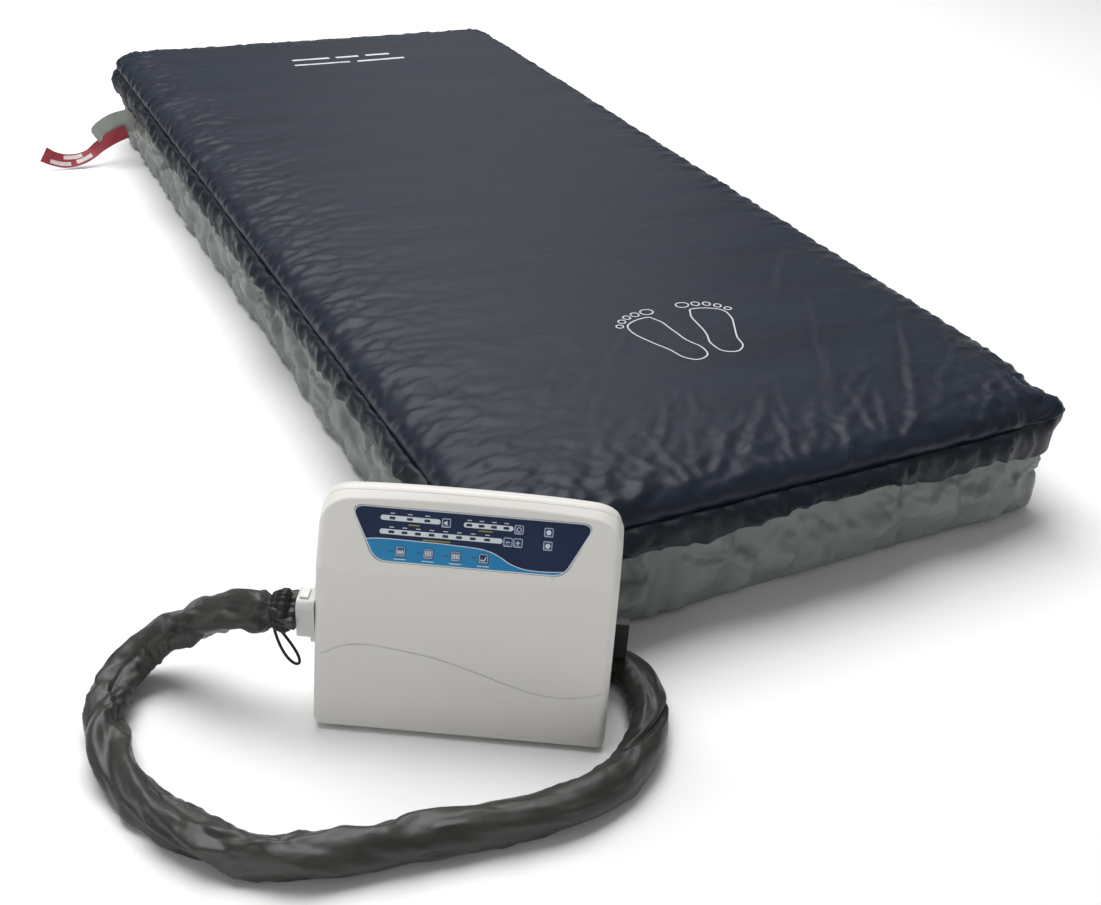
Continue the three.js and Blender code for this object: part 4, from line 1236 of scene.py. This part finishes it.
def strip(name, points, width, levels, materials, closed, ground=lambda x, y: 0.0):
    """A flat line as a thin solid between two levels above the ground."""
    left, right = ribbon_outline(points, width, closed)
    verts, (low, high) = [], levels
    for a, b in zip(left, right):
        under_a, under_b = ground(a.x, a.y), ground(b.x, b.y)
        verts += [(b.x, b.y, under_b + low), (a.x, a.y, under_a + low)]
        verts += [(a.x, a.y, under_a + high), (b.x, b.y, under_b + high)]
    faces = loop_faces(len(left), 4, closed) + ([] if closed else end_caps(len(left), 4))
    return mesh_object(name, verts, faces, materials, False)


def band(points, width, low, high, materials, closed=False, matrix=None):
    """A flat line as a thin solid between two heights."""
    made = strip("band", points, width, (low, high), materials, closed)
    made.data.transform(PANEL if matrix is None else matrix)
    return made


def denser(outline, step):
    """A closed outline with points at most step apart."""
    made = []
    for i, p in enumerate(outline):
        after = outline[(i + 1) % len(outline)]
        count = max(1, math.ceil((after - p).length / step))
        made += [p.lerp(after, k / count) for k in range(count)]
    return made


def rectangle(x, y, width, height):
    left, right, low, high = x - width / 2, x + width / 2, y - height / 2, y + height / 2
    return [(left, low), (right, low), (right, high), (left, high)]


WAVE = [
    (-0.1150, 0.0352), (-0.100, 0.0368), (-0.0547, 0.0368), (-0.020, 0.0360), (0.019, 0.0332),
    (0.034, 0.0275),
    (0.0445, 0.0215), (0.056, 0.0175), (0.0666, 0.0158), (0.085, 0.0156), (0.1075, 0.0172),
]
BARS = [  # from x, to x, y, and the x of each lamp on it
    (-0.0990, -0.0334, 0.0600, (-0.086, -0.067, -0.048)),
    (-0.0080, 0.0463, 0.0594, (-0.002, 0.0114, 0.025, 0.0385)),
    (-0.0990, 0.0355, 0.0449, (-0.086, -0.0717, -0.057, -0.042, -0.027, -0.012, 0.003, 0.0186)),
]


def printed(name, outline, height, materials, low=0.0):
    """A print on the overlay, between two heights above it."""
    return prism(name, outline, OVERLAY_TOP + low, OVERLAY_TOP + height, PANEL, materials)


def make_light_area():
    """The light blue area at the overlay's foot, and the white wave above it."""
    wave = [Vector(p[:2]) for p in catmull_rom(np.array([(x, y, 0) for x, y in WAVE]), 8)]
    inside = denser(overlay_outline(-0.0006), 0.0008)
    first, last = (min(inside, key=lambda p: (p - end).length) for end in (wave[0], wave[-1]))
    wave = [first, *wave[1:-1], last]
    start = inside.index(first)
    order = inside[start:] + inside[:start]
    area = printed("wave", order[1 : order.index(last)] + wave[::-1], 0.00005, LIGHT_BLUE)
    cut_key_holes(area, MODE_KEYS, -0.003, PANEL)
    return [area, band(wave, 0.0009, OVERLAY_TOP, OVERLAY_TOP + 0.0001, OVERLAY_WHITE)]


def make_overlay():
    plate = prism("plate", overlay_outline(), -0.0015, OVERLAY_TOP, PANEL, DARK_BLUE)
    cut_key_holes(plate, KEYS, -0.0030, PANEL)
    pieces = [plate, *make_light_area()]
    border = overlay_outline(-0.0008)
    pieces.append(band(border, 0.0013, OVERLAY_TOP, OVERLAY_TOP + 0.00011, OVERLAY_WHITE, True))
    for x0, x1, y, lamps in BARS:
        bar = rounded_box_outline(x1 - x0, 0.0056, 0.0027, ((x0 + x1) / 2, y))
        pieces.append(printed("bar", bar, 0.00008, OVERLAY_WHITE))
        for x in lamps:
            lamp = rounded_box_outline(0.0064, 0.0030, 0.0008, (x, y))
            pieces.append(printed("led", lamp, 0.00014, LED_DARK))
            pieces.append(printed("tick", rectangle(x, y + 0.0052, 0.0050, 0.0009), 0.00006, OVERLAY_WHITE))
    for x, y, width in ((-0.062, 0.0538, 0.012), (0.0165, 0.0540, 0.016), (-0.036, 0.0388, 0.030)):
        pieces.append(printed("tick", rectangle(x, y, width, 0.0011), 0.00006, OVERLAY_YELLOW))
    small_lamps = [(x + dx, MODE_KEYS_Y, 0.00005) for x in MODE_KEYS_X for dx in (-0.0118, -0.0093)]
    small_lamps += [(0.085 + dx, y, 0.0) for y in (0.0587, 0.044) for dx in (-0.0122, -0.0096)]
    for x in MODE_KEYS_X:
        pieces.append(printed("tick", rectangle(x, 0.0157, 0.013, 0.0010), 0.0001, OVERLAY_WHITE, 0.00005))
    for x, y, low in small_lamps:
        lamp = rounded_box_outline(0.0016, 0.0012, 0.0003, (x, y))
        pieces.append(printed("led", lamp, 0.00012, LED_DARK, low))
    joined("overlay_graphics", pieces, "mattress", "overlay", "control_overlay")


def key_icons():
    """The outlines of each key's symbol, about its middle."""
    dot = [circle(0.0027, 24)]
    bars_x, bars_high = np.arange(6) * 0.0012 - 0.0030, (0.0050, 0.0034, 0.0044, 0.0030, 0.0048, 0.0034)
    four_x = (-0.0028, -0.0009, 0.0009, 0.0028)
    speaker = [(-0.0011, -0.0011), (0.0012, -0.0026), (0.0012, 0.0026), (-0.0011, 0.0011)]
    backrest = [(0.0006, -0.0023), (0.0016, -0.0023), (0.0034, 0.0024), (0.0022, 0.0024)]
    minus = rectangle(0, 0, 0.0044, 0.0009)
    return {
        "key_mute": [rectangle(-0.0018, 0, 0.0014, 0.0022), speaker],
        "key_timer": [],
        "key_minus": [minus],
        "key_plus": [minus] + [rectangle(0, y, 0.0009, 0.0018) for y in (0.00135, -0.00135)],
        "key_panel_lock": dot,
        "key_alarm_reset": dot,
        "key_mode_alternate": [rectangle(x, h / 2 - 0.0024, 0.0009, h) for x, h in zip(bars_x, bars_high)],
        "key_mode_pulsate": [
            *(rectangle(x, 0, 0.0011, 0.0050) for x in (-0.0027, -0.0009, 0.0009, 0.0027)),
            rectangle(0, 0.0027, 0.0068, 0.0007),
        ],
        "key_mode_static": [rectangle(x, 0, 0.0012, 0.0056) for x in four_x],
        "key_mode_seat": [rectangle(-0.0012, -0.0018, 0.0040, 0.0011), backrest],
    }


def make_keys():
    icons, print_top = key_icons(), KEY_TOP + 0.00008
    for name, (x, y) in KEYS.items():
        at = PANEL @ Matrix.Translation((x, y, 0))
        outline = rounded_box_outline(KEY_SIZE, KEY_SIZE, 0.0015)
        frame_line = rounded_box_outline(KEY_SIZE - 0.0016, KEY_SIZE - 0.0016, 0.0010)
        pieces = [
            prism("cap", outline, KEY_LOW, KEY_TOP, at, KEY_BLUE, 0.0003),
            band(frame_line, 0.0006, KEY_TOP, print_top, OVERLAY_WHITE, True, at),
        ]
        pieces += [prism("icon", shape, KEY_TOP, print_top, at, OVERLAY_WHITE) for shape in icons[name]]
        if name == "key_timer":
            pieces.append(band(circle(0.0024, 24), 0.0007, KEY_TOP, print_top, OVERLAY_WHITE, True, at))
        joined(name + "_cap", pieces, name, "key", name)


make_housings()
make_hook_lugs()
make_screws()
make_overlay()
make_keys()

# ---------------------------------------------------------------- pull strap and its tag
def make_strap():
    """The grey pull strap, and the striped ribbon sewn to it, which twists as it droops."""
    width, at_y = 0.050, 0.852
    path = [
        (-0.4450, 0, 0.088), (-0.4650, 0, 0.0905), (-0.4870, 0, 0.0890), (-0.5090, -0.001, 0.0830),
        (-0.5290, -0.004, 0.0725), (-0.5420, -0.007, 0.0630), (-0.5470, -0.009, 0.0600),
    ]
    tag_path = [
        (-0.4800, -0.0100, 0.0700), (-0.5100, -0.011, 0.0600), (-0.5420, -0.012, 0.0430),
        (-0.5650, -0.013, 0.0270), (-0.5900, -0.014, 0.0185), (-0.6200, -0.014, 0.0180),
        (-0.6450, -0.013, 0.0265), (-0.6620, -0.012, 0.0370),
    ]
    path, tag_path = ([(x, at_y + y, z) for x, y, z in points] for points in (path, tag_path))
    widths, strap_turns = [width] * 5 + [width * 0.93, width * 0.70], [90, 90, 90, 88, 84, 80, 80]
    strap = ribbon_strip("cpr_strap_webbing", path, widths, 0.0022, strap_turns, WEBBING)
    place(strap, "cpr_pull", "cover_grey", "cpr_pull_strap")
    turns = [80, 72, 58, 42, 46, 62, 74, 80]
    tag_width = [0.028, 0.028, 0.026, 0.026, 0.028, 0.030, 0.031, 0.034]
    place(ribbon_strip("cpr_tag_ribbon", tag_path, tag_width, 0.0008, turns, TAG_RED), "cpr_pull")
    stripes = [
        ribbon_strip("stripe", tag_path, [0.0085], 0.0012, turns, TAG_WHITE, part, offset, tag_width)
        for part, offset in (((0.42, 0.60), -0.004), ((0.52, 0.74), 0.007), ((0.66, 0.88), -0.007))
    ]
    joined("cpr_tag_stripes", stripes, "cpr_pull", None)


def ribbon_strip(name, path, width, thick, turns, materials, part=(0, 1), offset=0.0, on=None):
    """A ribbon along a path. turns are the angles of its width from level, in degrees, one at each point;
    width is a list of widths along it, and on is the list of the wider ribbon that it's printed on."""
    line = catmull_rom(np.array(path, float), 10)

    def along(values):
        return np.interp(np.linspace(0, 1, len(line)), np.linspace(0, 1, len(values)), values)

    angles, widths, whole = np.radians(along(turns)), along(width), along(on or width)
    first, last = int(part[0] * (len(line) - 1)), int(part[1] * (len(line) - 1)) + 1
    tangent, side, up = line_frames(line)
    shares = (-1, -0.5, 0, 0.5, 1)
    section = [(w, -1) for w in shares] + [(w, 1) for w in reversed(shares)]
    verts = []
    for i in range(first, last):
        across = math.cos(angles[i]) * side[i] + math.sin(angles[i]) * up[i]
        out = np.cross(tangent[i], across)
        middle = line[i] + across * offset
        for w, t in section:
            from_middle = w * widths[i] / 2
            cup = 0.0012 * (1 - ((offset + from_middle) / (whole[i] / 2)) ** 2) * math.sin(i * 0.35)
            verts.append(middle + across * from_middle + out * (t * thick / 2 + cup))
    rows = last - first
    faces = loop_faces(rows, 10) + end_caps(rows, 10)
    made = mesh_object(name, verts, faces, materials)
    smooth_by_angle(made, 50)
    return made


make_strap()

# ---------------------------------------------------------------- printed marks on the top cover
def make_prints():
    """Two outlined feet near the foot end and two plain bars near the head, as thin print on the cloth."""
    tree = BVHTree.FromObject(top_cover, bpy.context.evaluated_depsgraph_get())
    sunk, proud = 0.0003, 0.0004

    def height(x, y):
        hit = tree.ray_cast(Vector((x, y, 0.4)), Vector((0, 0, -1)))
        return hit[0].z if hit[0] else HEIGHT

    def line_on_cloth(points, width, closed):
        dense, count = [], len(points)
        for i in range(count if closed else count - 1):
            a, b = Vector(points[i]), Vector(points[(i + 1) % count])
            steps = max(1, int((b - a).length / 0.003))
            dense += [a.lerp(b, k / steps) for k in range(steps)]
        if not closed:
            dense.append(Vector(points[-1]))
        return strip("print", dense, width, (-sunk, proud), PRINT, closed, height)

    def smooth_closed(points):
        ring = np.array(points + points[:3], float)
        curve = catmull_rom(np.column_stack([ring, np.zeros(len(ring))]), 8)[8:-16, :2]
        return [tuple(p) for p in curve]

    sole = [  # millimetres, and so are the toes and the pivot
        (-4, -605), (4, -624), (6, -652), (9, -684), (17, -712), (13, -738), (-8, -746),
        (-25, -733), (-31, -706), (-44, -674), (-55, -644), (-53, -621), (-32, -607),
    ]
    toes = [
        (0, -587, 10.5, 8.5), (-22, -589, 6.5, 6.2), (-39, -594, 5.8, 6.0), (-53, -604, 5.6, 5.6),
        (-64, -617, 5.6, 5.0),
    ]
    pivot, mirror_x = Vector((-24, -620)), 31
    for name, mirror, turn in (("left", 1, 0.0), ("right", -1, 0.08)):

        def spot(x, y):
            moved = (Vector((x, y)) - pivot) @ Matrix.Rotation(mirror * turn, 2) + pivot
            return ((mirror_x + mirror * (moved.x - mirror_x)) / 1000, moved.y / 1000)

        loops = [line_on_cloth(smooth_closed([spot(*p) for p in sole]), 0.0023, True)]
        for x, y, radius_x, radius_y in toes:
            ring = [spot(x + radius_x * p.x, y + radius_y * p.y) for p in circle(1, 14)]
            loops.append(line_on_cloth(smooth_closed(ring), 0.0021, True))
        joined(f"foot_print_{name}", loops, "mattress", "cover_navy")
    bars = [(start, stop, 0.812) for start, stop in ((-0.105, -0.018), (-0.002, 0.052), (0.070, 0.128))]
    bars += [(start, stop, 0.772) for start, stop in ((-0.112, 0.018), (0.036, 0.150))]
    bars = [line_on_cloth([(start, y), (stop, y)], 0.0105, False) for start, stop, y in bars]
    joined("head_print_bars", bars, "mattress", "cover_navy")


make_prints()

# ---------------------------------------------------------------- materials and edges of the CAD nodes
FINISHES = [  # material, width of the eased edges, nodes
    (ZIP_TAPE, 0, "zip_chain"), (GREY, 0, "cell_base_sheet"), (TUBE, 0, "air_line_a", "air_line_b"),
    (BOARD, 0, "control_board"), (FOAM, 0.001, "air_filter"), (METAL, 0.002, "compressor"),
    (METAL, 0.0006, "zip_slider"),
    (LIGHT_GREY, 0.001, "cpr_valve_body", "valve_motor"), (LIGHT_GREY, 0.0012, "hose_port"),
    (LIGHT_GREY, 0.0014, "hose_plug"), (SHELL, 0.0006, "filter_cover", "plug_latch"),
    (BLACK, 0.0018, "bed_hook_left", "bed_hook_right"), (BLACK, 0.0012, "hose_inlet"),
    (BLACK, 0.0008, "cpr_valve_plug", "mains_inlet"), (BLACK, 0.0006, "power_switch"),
    (RUBBER, 0.0006, *(f"foot_{side}_{end}" for side in ("left", "right") for end in ("front", "rear"))),
    (CELL, 0, *(f"air_cell_{k:02d}" for k in range(1, 17))),
]
for finish, edge, *names in FINISHES:
    for name in names:
        node = nodes[name]
        node.data.materials.clear()
        node.data.materials.append(finish)
        if edge:
            add_bevel(node, edge)
        smooth_by_angle(node, 35)

# ---------------------------------------------------------------- floor and light
def make_stage():
    floor_material = material("floor", "#fafafa", "#f7f7f7", (0.7, 0.8), patch=0.4)
    corners = [(x, y, 0) for x, y in rectangle(0, 0, 28, 28)]
    floor = mesh_object("floor", corners, [(0, 1, 2, 3)], floor_material, False)
    world = bpy.data.worlds.new("studio")
    scene.world = world
    world.use_nodes = True
    background = world.node_tree.nodes["Background"].inputs
    background["Color"].default_value = (1, 1, 1, 1)
    background["Strength"].default_value = 0.24
    for name, at, aim, size, power in (
        ("overhead", (-0.3, 1.5, 5.0), (-0.1, 0.1, 0.0), 4.4, 370),
        ("back", (1.8, 3.4, 1.9), (0, -0.2, 0.1), 2.0, 5),
        ("side", (-3.4, 0.6, 1.9), (-0.3, -0.2, 0.1), 1.6, 5),
        ("front", (-2.7, -3.2, 0.20), (-0.54, -1.1, 0.02), 1.4, 28),
    ):
        data = bpy.data.lights.new(name, "AREA")
        data.size, data.energy = size, power
        lamp = bpy.data.objects.new(name, data)
        lamp.location = at
        lamp.rotation_euler = (Vector(aim) - Vector(at)).to_track_quat("-Z", "Y").to_euler()
        scene.collection.objects.link(lamp)


make_stage()
scene.view_settings.view_transform = "Standard"
